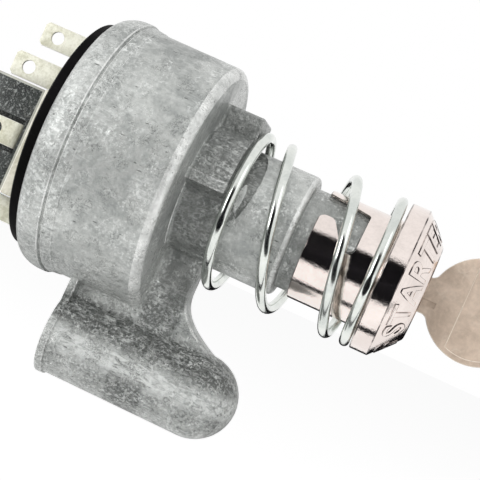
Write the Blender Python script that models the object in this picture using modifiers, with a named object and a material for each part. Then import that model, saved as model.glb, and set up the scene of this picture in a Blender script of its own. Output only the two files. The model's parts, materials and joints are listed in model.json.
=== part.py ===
"""Ignition switch with a die-cast housing, a bayonet ferrule and its key.

The barrel's axis is Y, with the key end towards -Y and the terminals towards
+Y. Z is up and the side boss hangs down. The origin is on the axis, in the
plane of the ferrule flange's rear face, which lies on the front of the panel.
All sizes are in metres.
"""

import math

import bmesh
import bpy
from mathutils import Matrix

MM = 0.001
DEG = math.pi / 180.0

# Clearances
GAP = 0.3 * MM
THROUGH = 1.0 * MM
WELD = 0.00001
ROUND_MARGIN = 0.05 * MM
CREASE_ANGLE = 35.0

# Facets round a turn
HOUSING_STEPS = 44
FERRULE_STEPS = 48
PLATE_STEPS = 44
CARRIER_STEPS = 36
PLUG_STEPS = 28
SHAFT_STEPS = 24
BOSS_STEPS = 24
RIVET_STEPS = 12
CORNER_STEPS = 4
COLLAR_STEPS = 20
FLUTE_STEPS = 20
HOLE_STEPS = 16
DETENT_STEPS = 14
BRIDGE_STEPS = 32
KEY_BOW_STEPS = 36
KEY_RECESS_STEPS = 28
KEY_HOLE_STEPS = 20
COIL_POINTS = 14

# Ferrule
SLEEVE_LENGTH = 19.2 * MM
SLEEVE_WALL = 0.9 * MM
FLANGE_RADIUS = 19.6 * MM
FLANGE_LENGTH = 4.8 * MM
FLANGE_CHAMFER = 0.4 * MM
CONE_LENGTH = 6.6 * MM
FACE_RADIUS = 12.4 * MM
FACE_ROUND = 0.5 * MM

# Bayonet slots in the sleeve and lugs on the nose, angles from -X towards +Z
SLOT_FRONT = 7.7 * MM
SLOT_LEG = 3.4 * MM
SLOT_TONGUE = 3.8 * MM
SLOT_END_ANGLE = 3.0
SLOT_ENTRY_ANGLE = 31.5
SLOT_FAR_ANGLE = 55.0
SLOT_MOUTH_ANGLE = 68.0
SLOT_CORNER = 0.8 * MM
SLOT_PUNCH_LENGTH = 8.0 * MM
LUG_ANGLE = 18.5
LUG_HEIGHT = 1.5 * MM
LUG_ROOT = 1.5 * MM
LUG_CORNER = 0.4 * MM

# Barrel of the housing
NOSE_RADIUS = 13.4 * MM
NOSE_DEPTH = 3.2 * MM
NOSE_BARE_LENGTH = 3.8 * MM
BARREL_RADIUS = 16.0 * MM
BARREL_LENGTH = 18.5 * MM
BARREL_FILLET = 2.4 * MM
SHOULDER_CHAMFER = 0.8 * MM
COLLAR_LENGTH = 9.9 * MM
COLLAR_RADIUS = 20.4 * MM
COLLAR_START_ANGLE = 9.0
COLLAR_RIB = 2.9 * MM
COLLAR_RIB_REACH = 21.2 * MM
COLLAR_RIB_TOP = 4.6 * MM
COLLAR_LUG_WIDTH = 15.0 * MM
COLLAR_LUG_TOP = 23.4 * MM

# Cup of the housing
CUP_LENGTH = 33.4 * MM
CUP_FRONT_RADIUS = 33.0 * MM
CUP_DRAFT = 0.3 * MM
CUP_EDGE_ROUND = 2.2 * MM
CUP_WALL = 3.0 * MM
FRONT_WALL = 3.0 * MM
BAND_LENGTH = 3.0 * MM
BAND_RISE = 0.6 * MM
BAND_GROOVE = 0.3 * MM
BAND_EASE = 0.5 * MM
BAND_FOOT_RISE = 0.2 * MM
BAND_FOOT_RUN = 0.4 * MM
RIM_LENGTH = 7.3 * MM
RIM_RISE = 1.1 * MM
RIM_EDGE_DROP = 2.8 * MM
RIM_LIP = 1.6 * MM
RIM_STRAIGHT = 1.8 * MM
RIM_EDGE_FLAT = 0.4 * MM
RIM_EDGE_EASE = 0.2 * MM
RIM_LIP_RETURN = 0.7 * MM

# Side boss, web and end flange of the housing
BOSS_RADIUS = 11.0 * MM
BOSS_DROP = 46.8 * MM
BOSS_TIP = 19.1 * MM
BOSS_END = 70.0 * MM
BOSS_CORE_RADIUS = 7.6 * MM
BOSS_CORE_WALL = 4.0 * MM
BOSS_FLUTE_RADIUS = 3.2 * MM
BOSS_FLUTE_DEPTH = 0.45 * MM
BOSS_FLUTE_END = 9.0 * MM
BOSS_FLUTE_DROP = 0.6 * MM
WEB_THICKNESS = 8.0 * MM
WEB_STRAIGHT_DROP = 23.5 * MM
WEB_CURVE_END = 27.0 * MM
WEB_CURVE_DROP = 5.5 * MM
WEB_CURVE_PULL = (11.5 * MM, 5.2 * MM)
WEB_CURVE_STEPS = 8
WEB_PAD_RADIUS = 2.2 * MM
WEB_PAD_HEIGHT = 0.4 * MM
WEB_PAD_PLACE = 8.6 * MM
WEB_PAD_DROP = 0.2 * MM
END_FLANGE_THICKNESS = 2.1 * MM
END_FLANGE_WIDTH = 16.0 * MM
END_FLANGE_OVERHANG = 0.5 * MM

# Lock plug, its clip and its wafers
HEAD_RADIUS = 9.9 * MM
HEAD_RECESS = 0.8 * MM
HEAD_SEAT = 1.2 * MM
HEAD_CHAMFER = 0.6 * MM
PLUG_RADIUS = 7.3 * MM
PLUG_TAIL = 3.3 * MM
TANG_WIDTH = 8.0 * MM
TANG_THICKNESS = 3.0 * MM
TANG_LENGTH = 4.0 * MM
CLIP_THICKNESS = 1.0 * MM
CLIP_RADIUS = 8.0 * MM
CLIP_BORE = 6.9 * MM
CLIP_AFTER_KEYWAY = 1.4 * MM
CLIP_MOUTH_ANGLE = 50.0
WAFER_COUNT = 5
WAFER_THICKNESS = 0.9 * MM
WAFER_WIDTH = 8.0 * MM
WAFER_PITCH = 2.4 * MM
WAFER_START = 1.5 * MM
WAFER_INSET = 0.15 * MM
BROACH_RADIUS = 9.2 * MM

# Key
KEY_THICKNESS = 2.3 * MM
BLADE_BEYOND = 3.7 * MM
BLADE_HEIGHT = 8.0 * MM
BLADE_TIP = 2.2 * MM
BLADE_NOSE = 0.4 * MM
BLADE_GROOVE_WIDTH = 1.5 * MM
BLADE_GROOVE_DEPTH = 0.5 * MM
BLADE_GROOVE_DROP = 1.6 * MM
CUT_DEPTHS = (0.9 * MM, 1.7 * MM, 1.2 * MM, 2.0 * MM, 1.4 * MM)
CUT_WIDTH = 1.1 * MM
CUT_SLOPE = 0.35
NECK_HEIGHT = 9.2 * MM
NECK_LENGTH = 0.4 * MM
BOW_RADIUS = 13.4 * MM
BOW_RISE = 1.5 * MM
BOW_FILLET = 2.0 * MM
BOW_RIM = 1.3 * MM
BOW_RECESS = 0.25 * MM
BOW_STEP_PLACE = 4.6 * MM
BOW_HOLE_RADIUS = 4.1 * MM
BOW_HOLE_WALL = 2.0 * MM

# Drive shaft and return spring
SHAFT_RADIUS = 5.0 * MM
SHAFT_BEARING = 8.7 * MM
SPOOL_RADIUS = 7.2 * MM
SPRING_CHAMBER_RADIUS = 12.3 * MM
SHAFT_FLANGE_RADIUS = 9.2 * MM
SHAFT_FLANGE_THICKNESS = 2.0 * MM
SHAFT_SQUARE = 7.0 * MM
SHAFT_SQUARE_INSET = 4.8 * MM
RETURN_WIRE = 1.5 * MM
RETURN_TURNS = 4.25
RETURN_PITCH = 2.2 * MM
RETURN_START = 4.0 * MM
RETURN_LEG = 2.6 * MM

# Contact carrier, detents and bridge
CARRIER_RADIUS = 22.0 * MM
CARRIER_RUNNING_GAP = 1.0 * MM
CARRIER_CHAMFER = 0.5 * MM
HUB_RADIUS = 7.0 * MM
HUB_FLATS = 11.2 * MM
HUB_LENGTH = 10.0 * MM
BALL_RADIUS = 2.3 * MM
BALL_CIRCLE = 17.0 * MM
BALL_REACH = 1.1 * MM
DETENT_POCKET_DEPTH = 6.6 * MM
DETENT_WIRE = 0.5 * MM
DETENT_TURNS = 3.0
BRIDGE_THICKNESS = 1.2 * MM
BRIDGE_HUB_RADIUS = 10.2 * MM
BRIDGE_ARM_WIDTH = 5.6 * MM
BRIDGE_ARM_ROOT = 1.5 * MM
CONTACT_RADIUS = 2.0 * MM
CONTACT_HEIGHT = 1.0 * MM
CONTACT_CIRCLE = 18.2 * MM
START_CONTACT_CIRCLE = 22.6 * MM
CONTACT_ANGLES = (96.0, 121.5, 158.5, 250.0)
START_CONTACT_ANGLE = 338.0
CONTACT_WIRE = 1.2 * MM
CONTACT_TURNS = 3.0
CONTACT_SPRING_LENGTH = 9.1 * MM

# Terminal plate and its block
PLATE_SPIGOT = 1.0 * MM
PLATE_FLANGE = 3.1 * MM
PLATE_FLANGE_REACH = 1.8 * MM
PLATE_STANDOUT = 3.0 * MM
PLATE_CHAMFER = 0.4 * MM
SLAB_HEIGHT = 3.9 * MM
BLOCK_NEAR = 20.0 * MM
BLOCK_FAR = 8.0 * MM
BLOCK_TOP = 7.2 * MM
BLOCK_BOTTOM = 19.6 * MM
BLOCK_LENGTH = 15.5 * MM
BLOCK_BEVEL = 0.7 * MM
BLOCK_ROOT = 0.5 * MM
SLAB_BORDER = 0.6 * MM
BLOCK_PIP_RADIUS = 1.6 * MM
BLOCK_PIP_HEIGHT = 0.5 * MM
BLOCK_PIP_PLACE = (5.0 * MM, -14.2 * MM)
CHANNEL_DEPTH = 9.4 * MM
CHANNEL_FLOOR = 1.2 * MM
CHANNEL_SIDE_GAP = 1.2 * MM

# Terminals and contact rivets
TAB_WIDTH = 6.35 * MM
TAB_THICKNESS = 0.8 * MM
TAB_LENGTH = 16.5 * MM
TAB_FOOT = 7.6 * MM
TAB_BEND = 1.3 * MM
TAB_HOLE_RADIUS = 1.75 * MM
TAB_HOLE_INSET = 4.3 * MM
TAB_TIP_CHAMFER = 0.9 * MM
RIVET_PLACE = 4.3 * MM
RIVET_HEAD_RADIUS = 3.2 * MM
RIVET_HEAD_THICKNESS = 1.8 * MM
RIVET_HEAD_CHAMFER = (0.6 * MM, 0.4 * MM)
RIVET_SHANK_RADIUS = 1.4 * MM
RIVET_TAIL_RADIUS = 2.3 * MM
RIVET_TAIL_THICKNESS = 0.8 * MM
RIVET_TAIL_TOP = 1.4 * MM
UPPER_TAB = (-3.0 * MM, 21.5 * MM)
NEAR_TAB = (-13.6 * MM, 11.1 * MM)
LOWER_TAB = (-3.4 * MM, -24.1 * MM)
BLOCK_TAB = (-20.4 * MM, -5.9 * MM)
BLOCK_TAB_LENGTH = 10.5 * MM

# Ferrule spring
SPRING_RADIUS = 20.0 * MM
SPRING_FLARE = 1.4 * MM
SPRING_LEAN = 1.8 * MM
SPRING_WIRE = 2.7 * MM
SPRING_TURNS = 4.0
SPRING_FLAT = 0.4
SPRING_REAR_RAMP = 0.9
SPRING_FRONT_RAMP = 1.2
SPRING_START_ANGLE = -90.0
SPRING_POINTS = 24

# Looks for the viewport: colour, roughness and metallic share
CAST_ZINC = ((0.42, 0.43, 0.43), 0.5, 0.9)
CHROME = ((0.86, 0.86, 0.87), 0.06, 1.0)
PLATED_WIRE = ((0.80, 0.82, 0.82), 0.25, 1.0)
PLUG_METAL = ((0.55, 0.55, 0.55), 0.3, 1.0)
BRASS = ((0.72, 0.55, 0.28), 0.3, 1.0)
SPRING_STEEL = ((0.48, 0.48, 0.49), 0.3, 1.0)
KEY_METAL = ((0.56, 0.49, 0.40), 0.35, 1.0)
BROWN_MOULDING = ((0.16, 0.09, 0.05), 0.4, 0.0)
BLACK_MOULDING = ((0.02, 0.02, 0.022), 0.45, 0.0)
COPPER = ((0.72, 0.48, 0.32), 0.3, 1.0)
TINNED_STRIP = ((0.74, 0.72, 0.62), 0.35, 1.0)

# Stations along the axis, worked out from the sizes above
FACE_Y = -(FLANGE_LENGTH + CONE_LENGTH)
SHOULDER_Y = SLEEVE_LENGTH + NOSE_BARE_LENGTH
COLLAR_Y = SHOULDER_Y + BARREL_LENGTH
CUP_FRONT_Y = COLLAR_Y + COLLAR_LENGTH
CHAMBER_Y = CUP_FRONT_Y + FRONT_WALL
CUP_REAR_Y = CUP_FRONT_Y + CUP_LENGTH
LIP_Y = CUP_REAR_Y - RIM_LIP
SEAT_Y = LIP_Y - PLATE_FLANGE - 2.0 * GAP
PLATE_FRONT_Y = SEAT_Y - PLATE_SPIGOT
PLATE_REAR_Y = CUP_REAR_Y + PLATE_STANDOUT
SLAB_Y = PLATE_REAR_Y + SLAB_HEIGHT
BLOCK_END_Y = SLAB_Y + BLOCK_LENGTH
HEAD_Y = FACE_Y + HEAD_RECESS
WAFER_END_Y = HEAD_SEAT + WAFER_START + (WAFER_COUNT - 1) * WAFER_PITCH
BLADE_END_Y = WAFER_END_Y + BLADE_BEYOND
KEYWAY_END_Y = BLADE_END_Y + GAP
CLIP_Y = KEYWAY_END_Y + CLIP_AFTER_KEYWAY
PLUG_END_Y = CLIP_Y + PLUG_TAIL
SHAFT_Y = PLUG_END_Y + GAP
SPRING_CHAMBER_Y = SHAFT_Y + SHAFT_BEARING
CARRIER_Y = CHAMBER_Y + CARRIER_RUNNING_GAP
SHAFT_FLANGE_Y = CARRIER_Y
SQUARE_Y = SHAFT_FLANGE_Y + SHAFT_FLANGE_THICKNESS
BALL_Y = CHAMBER_Y - BALL_REACH + BALL_RADIUS
RIVET_HEAD_Y = PLATE_FRONT_Y - GAP - RIVET_HEAD_THICKNESS
CONTACT_Y = RIVET_HEAD_Y - GAP
BRIDGE_REAR_Y = CONTACT_Y - CONTACT_HEIGHT
BRIDGE_Y = BRIDGE_REAR_Y - BRIDGE_THICKNESS
CARRIER_REAR_Y = BRIDGE_Y - CONTACT_SPRING_LENGTH
HUB_END_Y = CARRIER_REAR_Y + HUB_LENGTH
SQUARE_END_Y = HUB_END_Y - SHAFT_SQUARE_INSET

# Radii that follow a neighbour
SLEEVE_BORE = NOSE_RADIUS + GAP
SLEEVE_RADIUS = SLEEVE_BORE + SLEEVE_WALL
FACE_OPENING = HEAD_RADIUS + 2.0 * GAP
HEAD_BORE = HEAD_RADIUS + GAP
PLUG_BORE = PLUG_RADIUS + GAP
SHAFT_BORE = SHAFT_RADIUS + GAP
CUP_REAR_RADIUS = CUP_FRONT_RADIUS + CUP_DRAFT
BAND_RADIUS = CUP_REAR_RADIUS + BAND_RISE
RIM_RADIUS = CUP_REAR_RADIUS + RIM_RISE
RIM_EDGE_RADIUS = RIM_RADIUS - RIM_EDGE_DROP
CHAMBER_RADIUS = CUP_FRONT_RADIUS - CUP_WALL
PLATE_FLANGE_RADIUS = CHAMBER_RADIUS + PLATE_FLANGE_REACH
PLATE_SEAT_RADIUS = PLATE_FLANGE_RADIUS + GAP
LIP_BORE = RIM_EDGE_RADIUS - RIM_LIP_RETURN
PLATE_RADIUS = LIP_BORE - GAP
KEYWAY_WIDTH = KEY_THICKNESS + 2.0 * GAP
KEYWAY_HEIGHT = BLADE_HEIGHT + 2.0 * GAP

# The key's bow, set by its neck and the fillet that runs into it
KEY_SHOULDER_Y = HEAD_Y - GAP
BOW_Y = KEY_SHOULDER_Y - NECK_LENGTH - math.sqrt(
    (BOW_RADIUS + BOW_FILLET) ** 2 - (NECK_HEIGHT / 2.0 + BOW_FILLET - BOW_RISE) ** 2
)

MODEL = "ignition_switch"
CUTTERS = "cutters"

# Planes for flat outlines: side is Y-Z, face is X-Z, plan is X-Y
SIDE = Matrix(((0, 0, 1, 0), (1, 0, 0, 0), (0, 1, 0, 0), (0, 0, 0, 1)))
FACE = Matrix(((1, 0, 0, 0), (0, 0, -1, 0), (0, 1, 0, 0), (0, 0, 0, 1)))
PLAN = Matrix.Identity(4)


def clear_scene():
    """Remove every object that the scene holds."""
    for obj in list(bpy.data.objects):
        bpy.data.objects.remove(obj, do_unlink=True)


def collection(name):
    """Return the named collection, made and linked if it is new."""
    found = bpy.data.collections.get(name)
    if found is None:
        found = bpy.data.collections.new(name)
        bpy.context.scene.collection.children.link(found)
    return found


def place(name, mesh, matrix, group):
    """Link a mesh as an object in a collection, at a matrix."""
    obj = bpy.data.objects.new(name, mesh)
    collection(group).objects.link(obj)
    obj.matrix_world = matrix
    if group == CUTTERS:
        obj.hide_render = True
        obj.display_type = "WIRE"
    return obj


def finish(obj, look, parent=None):
    """Give a part its own material, smooth shading and its parent."""
    colour, roughness, metallic = look
    material = bpy.data.materials.new(obj.name)
    material.use_nodes = True
    shader = material.node_tree.nodes["Principled BSDF"]
    shader.inputs["Base Color"].default_value = (*colour, 1.0)
    shader.inputs["Roughness"].default_value = roughness
    shader.inputs["Metallic"].default_value = metallic
    obj.data.materials.clear()
    obj.data.materials.append(material)
    obj.data.shade_smooth()
    obj.data.set_sharp_from_angle(angle=CREASE_ANGLE * DEG)
    if parent is not None:
        obj.parent = parent
    return obj


def arc(centre, radius, start, end, steps):
    """Return points on an arc about a centre, angles in degrees."""
    points = []
    for i in range(steps + 1):
        angle = (start + (end - start) * i / steps) * DEG
        points.append((centre[0] + radius * math.cos(angle), centre[1] + radius * math.sin(angle)))
    return points


def rounded(corners, steps=CORNER_STEPS):
    """Return an outline whose corners (a, b, radius) are rounded by arcs."""
    points = []
    count = len(corners)
    for i in range(count):
        ax, ay, _ = corners[i - 1]
        bx, by, radius = corners[i]
        cx, cy, _ = corners[(i + 1) % count]
        if radius <= 0.0:
            points.append((bx, by))
            continue
        into = math.atan2(ay - by, ax - bx)
        out = math.atan2(cy - by, cx - bx)
        half = abs((out - into + math.pi) % (2.0 * math.pi) - math.pi) / 2.0
        reach = radius / math.tan(half)
        first = (bx + reach * math.cos(into), by + reach * math.sin(into))
        middle = into + ((out - into + math.pi) % (2.0 * math.pi) - math.pi) / 2.0
        centre = (
            bx + radius / math.sin(half) * math.cos(middle),
            by + radius / math.sin(half) * math.sin(middle),
        )
        start = math.atan2(first[1] - centre[1], first[0] - centre[0])
        last = (bx + reach * math.cos(out), by + reach * math.sin(out))
        end = math.atan2(last[1] - centre[1], last[0] - centre[0])
        sweep = (end - start + math.pi) % (2.0 * math.pi) - math.pi
        points += arc(centre, radius, start / DEG, (start + sweep) / DEG, steps)
    return points


def circle(centre, radius, steps):
    """Return the points of a full circle as an outline."""
    return arc(centre, radius, 0.0, 360.0, steps)[:-1]


def turned(name, profile, steps, group=MODEL):
    """Turn a profile of (radius, y) about the barrel's axis.

    The profile runs down its outer side from the rear to the front. It is
    closed into a loop unless it starts and ends on the axis.
    """
    mesh = bpy.data.meshes.new(name)
    on_axis = profile[0][0] == 0.0 and profile[-1][0] == 0.0
    count = len(profile)
    edges = [(i, i + 1) for i in range(count - 1)]
    if not on_axis:
        edges.append((count - 1, 0))
    mesh.from_pydata([(r, 0.0, y) for r, y in profile], edges, [])
    obj = place(name, mesh, Matrix.Rotation(-90.0 * DEG, 4, "X"), group)
    screw = obj.modifiers.new("Turn", "SCREW")
    screw.axis = "Z"
    screw.angle = 360.0 * DEG
    screw.steps = steps
    screw.render_steps = steps
    screw.use_merge_vertices = True
    screw.merge_threshold = WELD
    return obj


def mesh_of(curve_object):
    """Turn a curve object into a mesh object with its caps welded."""
    graph = bpy.context.evaluated_depsgraph_get()
    mesh = bpy.data.meshes.new_from_object(curve_object.evaluated_get(graph))
    work = bmesh.new()
    work.from_mesh(mesh)
    bmesh.ops.remove_doubles(work, verts=work.verts, dist=WELD / 10.0)
    bmesh.ops.recalc_face_normals(work, faces=work.faces)
    work.to_mesh(mesh)
    work.free()
    matrix = curve_object.matrix_world.copy()
    name = curve_object.name
    group = curve_object.users_collection[0].name
    bpy.data.objects.remove(curve_object, do_unlink=True)
    mesh.name = name
    return place(name, mesh, matrix, group)


def flat_plate(name, outlines, thickness, matrix, group=MODEL):
    """Extrude flat outlines, the first outside and the rest as holes."""
    curve = bpy.data.curves.new(name, "CURVE")
    curve.dimensions = "2D"
    curve.fill_mode = "BOTH"
    curve.extrude = thickness / 2.0
    for outline in outlines:
        spline = curve.splines.new("POLY")
        spline.points.add(len(outline) - 1)
        for point, (a, b) in zip(spline.points, outline):
            point.co = (a, b, 0.0, 1.0)
        spline.use_cyclic_u = True
    obj = place(name, curve, matrix, group)
    bpy.context.view_layer.update()
    return mesh_of(obj)


def wire(name, points, radius, resolution, group=MODEL):
    """Make a round wire along points, with closed ends."""
    curve = bpy.data.curves.new(name, "CURVE")
    curve.dimensions = "3D"
    curve.bevel_depth = radius
    curve.bevel_resolution = resolution
    curve.use_fill_caps = True
    spline = curve.splines.new("POLY")
    spline.points.add(len(points) - 1)
    for point, co in zip(spline.points, points):
        point.co = (*co, 1.0)
    obj = place(name, curve, Matrix.Identity(4), group)
    bpy.context.view_layer.update()
    return mesh_of(obj)


def block(name, low, high, group=CUTTERS):
    """Make a box between two corners."""
    mesh = bpy.data.meshes.new(name)
    work = bmesh.new()
    bmesh.ops.create_cube(work, size=1.0)
    for vert in work.verts:
        for i in range(3):
            vert.co[i] = low[i] if vert.co[i] < 0.0 else high[i]
    work.to_mesh(mesh)
    work.free()
    return place(name, mesh, Matrix.Identity(4), group)


def rod(name, start, axis, radius, length, steps, group=CUTTERS):
    """Make a cylinder that runs from a point along +X, +Y or +Z."""
    mesh = bpy.data.meshes.new(name)
    work = bmesh.new()
    bmesh.ops.create_cone(
        work,
        cap_ends=True,
        segments=steps,
        radius1=radius,
        radius2=radius,
        depth=length,
        matrix=Matrix.Translation((0.0, 0.0, length / 2.0)),
    )
    work.to_mesh(mesh)
    work.free()
    turn = {
        "X": Matrix.Rotation(90.0 * DEG, 4, "Y"),
        "Y": Matrix.Rotation(-90.0 * DEG, 4, "X"),
        "Z": Matrix.Identity(4),
    }[axis]
    return place(name, mesh, Matrix.Translation(start) @ turn, group)


def ball(name, centre, radius, group=MODEL):
    """Make a small sphere at a point."""
    mesh = bpy.data.meshes.new(name)
    work = bmesh.new()
    bmesh.ops.create_uvsphere(work, u_segments=DETENT_STEPS, v_segments=DETENT_STEPS // 2 + 1, radius=radius)
    work.to_mesh(mesh)
    work.free()
    return place(name, mesh, Matrix.Translation(centre), group)


def combine(obj, tool, operation):
    """Add a Boolean of a tool object to an object."""
    modifier = obj.modifiers.new(tool.name, "BOOLEAN")
    modifier.operation = operation
    modifier.solver = "EXACT"
    modifier.object = tool
    return obj


def helix(radius, start_y, turns, rise, start_angle, per_turn):
    """Return points of a helix about the axis, rise being y per turn share.

    Angles run from +Z towards -X, which winds a right-handed coil when y
    falls towards the front.
    """
    count = round(turns * per_turn)
    points = []
    for i in range(count + 1):
        turn = turns * i / count
        angle = start_angle * DEG + 2.0 * math.pi * turn
        y = start_y + rise(turn)
        points.append((-radius * math.sin(angle), y, radius * math.cos(angle)))
    return points


def around(angle_degrees):
    """Return the turn about the barrel axis from -X towards +Z."""
    return Matrix.Rotation(angle_degrees * DEG, 4, "Y")


def tangent_frame(angle_degrees, distance):
    """Return a plane that touches a cylinder at an angle from -X to +Z.

    Its first axis is Y, its second runs towards growing angle and its third
    points away from the axis or towards it.
    """
    first = (0.0, 1.0, 0.0)
    a = angle_degrees * DEG
    second = (math.sin(a), 0.0, math.cos(a))
    third = (math.cos(a), 0.0, -math.sin(a))
    columns = Matrix.Identity(4)
    for row in range(3):
        columns[row][0] = first[row]
        columns[row][1] = second[row]
        columns[row][2] = third[row]
        columns[row][3] = -third[row] * distance
    return columns


def housing_shell():
    """Turn the outside of the casting: cup, barrel and nose."""
    edge = CUP_EDGE_ROUND
    rim_front = CUP_REAR_Y - RIM_LENGTH
    band_front = rim_front - BAND_LENGTH
    rim_reach = RIM_RADIUS - RIM_EDGE_RADIUS
    rim_run = RIM_LENGTH - RIM_STRAIGHT
    profile = [(0.0, CUP_REAR_Y), (RIM_EDGE_RADIUS - RIM_EDGE_FLAT, CUP_REAR_Y)]
    for angle in (0.0, 18.0, 36.0, 54.0, 72.0, 90.0):
        profile.append((
            RIM_EDGE_RADIUS + rim_reach * math.sin(angle * DEG),
            CUP_REAR_Y - rim_run + rim_run * math.cos(angle * DEG) - (RIM_EDGE_EASE if angle == 0.0 else 0.0),
        ))
    profile += [
        (RIM_RADIUS, rim_front + BAND_EASE),
        (BAND_RADIUS - BAND_GROOVE, rim_front),
        (BAND_RADIUS, rim_front - BAND_EASE),
        (CUP_REAR_RADIUS + BAND_FOOT_RISE, band_front),
        (CUP_REAR_RADIUS, band_front - BAND_FOOT_RUN),
    ]
    profile += arc((CUP_FRONT_RADIUS - edge, CUP_FRONT_Y + edge), edge, 0.0, -90.0, 4)
    profile += [
        (BARREL_RADIUS + BARREL_FILLET, CUP_FRONT_Y),
        (BARREL_RADIUS, CUP_FRONT_Y - BARREL_FILLET),
        (BARREL_RADIUS, SHOULDER_Y + SHOULDER_CHAMFER),
        (BARREL_RADIUS - SHOULDER_CHAMFER, SHOULDER_Y),
        (NOSE_RADIUS, SHOULDER_Y),
        (NOSE_RADIUS, -NOSE_DEPTH),
        (0.0, -NOSE_DEPTH),
    ]
    return turned("housing", profile, HOUSING_STEPS)


def housing_bore():
    """Turn the cutter for the whole inside of the casting."""
    groove = BALL_RADIUS + GAP
    half = math.sqrt(groove ** 2 - (BALL_Y - CHAMBER_Y) ** 2)
    low = math.degrees(math.atan2(CHAMBER_Y - BALL_Y, half))
    bite = CLIP_THICKNESS / 2.0 + GAP
    profile = [
        (0.0, CUP_REAR_Y + THROUGH),
        (LIP_BORE, CUP_REAR_Y + THROUGH),
        (LIP_BORE, LIP_Y),
        (PLATE_SEAT_RADIUS, LIP_Y),
        (PLATE_SEAT_RADIUS, SEAT_Y),
        (CHAMBER_RADIUS, SEAT_Y),
        (CHAMBER_RADIUS, CHAMBER_Y),
    ]
    profile += arc((BALL_CIRCLE, BALL_Y), groove, low, -180.0 - low, 5)
    profile += [
        (SPRING_CHAMBER_RADIUS, CHAMBER_Y),
        (SPRING_CHAMBER_RADIUS, SPRING_CHAMBER_Y),
        (SHAFT_BORE, SPRING_CHAMBER_Y),
        (SHAFT_BORE, SHAFT_Y),
        (PLUG_BORE, SHAFT_Y),
        (PLUG_BORE, CLIP_Y + bite),
        (CLIP_RADIUS + GAP, CLIP_Y + bite),
        (CLIP_RADIUS + GAP, CLIP_Y - bite),
        (PLUG_BORE, CLIP_Y - bite),
        (PLUG_BORE, HEAD_SEAT + GAP),
        (HEAD_BORE, HEAD_SEAT + GAP),
        (HEAD_BORE, -NOSE_DEPTH - THROUGH),
        (0.0, -NOSE_DEPTH - THROUGH),
    ]
    return turned("housing_bore", profile, HOUSING_STEPS, CUTTERS)


def web_outline():
    """Return the web's outline in the side plane, with its concave front edge."""
    root = SPRING_CHAMBER_RADIUS + (BARREL_RADIUS - SPRING_CHAMBER_RADIUS) / 2.0
    under_cup = CHAMBER_RADIUS + CUP_WALL / 2.0
    in_boss = BOSS_DROP - (BOSS_RADIUS + BOSS_CORE_RADIUS) / 2.0
    start = (COLLAR_Y, -WEB_STRAIGHT_DROP)
    end = (WEB_CURVE_END, -in_boss)
    first = (start[0], start[1] - WEB_CURVE_DROP)
    second = (end[0] + WEB_CURVE_PULL[0], end[1] + WEB_CURVE_PULL[1])
    points = [(COLLAR_Y, -root)]
    for i in range(WEB_CURVE_STEPS + 1):
        t = i / WEB_CURVE_STEPS
        weights = ((1 - t) ** 3, 3 * t * (1 - t) ** 2, 3 * t ** 2 * (1 - t), t ** 3)
        y = sum(w * p[0] for w, p in zip(weights, (start, first, second, end)))
        z = sum(w * p[1] for w, p in zip(weights, (start, first, second, end)))
        points.append((y, z))
    points += [
        (BOSS_END - END_FLANGE_THICKNESS / 2.0, -in_boss),
        (BOSS_END - END_FLANGE_THICKNESS / 2.0, -under_cup),
        (CUP_FRONT_Y + FRONT_WALL / 2.0, -under_cup),
        (CUP_FRONT_Y + FRONT_WALL / 2.0, -root),
    ]
    return points


def housing_web():
    """Make the flat web between the barrel, the cup and the side boss."""
    return flat_plate("web", [web_outline()], WEB_THICKNESS, SIDE, CUTTERS)


def housing_boss():
    """Turn the side boss with its domed front end."""
    dome = BOSS_TIP + BOSS_RADIUS
    profile = [(0.0, BOSS_END), (BOSS_RADIUS, BOSS_END)]
    profile += [(r, y) for r, y in arc((0.0, dome), BOSS_RADIUS, 0.0, -75.0, 6)]
    profile.append((0.0, BOSS_TIP))
    boss = turned("side_boss", profile, BOSS_STEPS, CUTTERS)
    boss.matrix_world = Matrix.Translation((0.0, 0.0, -BOSS_DROP)) @ boss.matrix_world
    return boss


def boss_core():
    """Turn the cutter for the blind core in the side boss."""
    radius = BOSS_CORE_RADIUS
    end = BOSS_TIP + BOSS_CORE_WALL + radius
    profile = [(0.0, BOSS_END + THROUGH), (radius, BOSS_END + THROUGH)]
    profile += [(r, y) for r, y in arc((0.0, end), radius, 0.0, -70.0, 4)]
    profile.append((0.0, BOSS_TIP + BOSS_CORE_WALL))
    core = turned("boss_core", profile, BOSS_STEPS, CUTTERS)
    core.matrix_world = Matrix.Translation((0.0, 0.0, -BOSS_DROP)) @ core.matrix_world
    return core


def boss_flute(side):
    """Make the round-ended cutter of the shallow flute along one flank."""
    centre = side * (BOSS_RADIUS + BOSS_FLUTE_RADIUS - BOSS_FLUTE_DEPTH)
    start = BOSS_TIP + BOSS_FLUTE_END
    return rod(
        "boss_flute",
        (centre, start, -BOSS_DROP - BOSS_FLUTE_DROP),
        "Y",
        BOSS_FLUTE_RADIUS,
        BOSS_END - END_FLANGE_THICKNESS - start,
        FLUTE_STEPS,
    )


def end_flange():
    """Make the thin flange that closes the rear of the web and the boss."""
    half = END_FLANGE_WIDTH / 2.0
    radius = BOSS_RADIUS + END_FLANGE_OVERHANG
    top = -(CHAMBER_RADIUS + CUP_WALL / 2.0)
    start = math.degrees(math.acos(half / radius))
    outline = [(-half, top), (half, top)]
    outline += arc((0.0, -BOSS_DROP), radius, start, -180.0 - start, 16)
    centre = BOSS_END - END_FLANGE_THICKNESS / 2.0
    matrix = Matrix.Translation((0.0, centre, 0.0)) @ FACE
    return flat_plate("end_flange", [outline], END_FLANGE_THICKNESS, matrix, CUTTERS)


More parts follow.
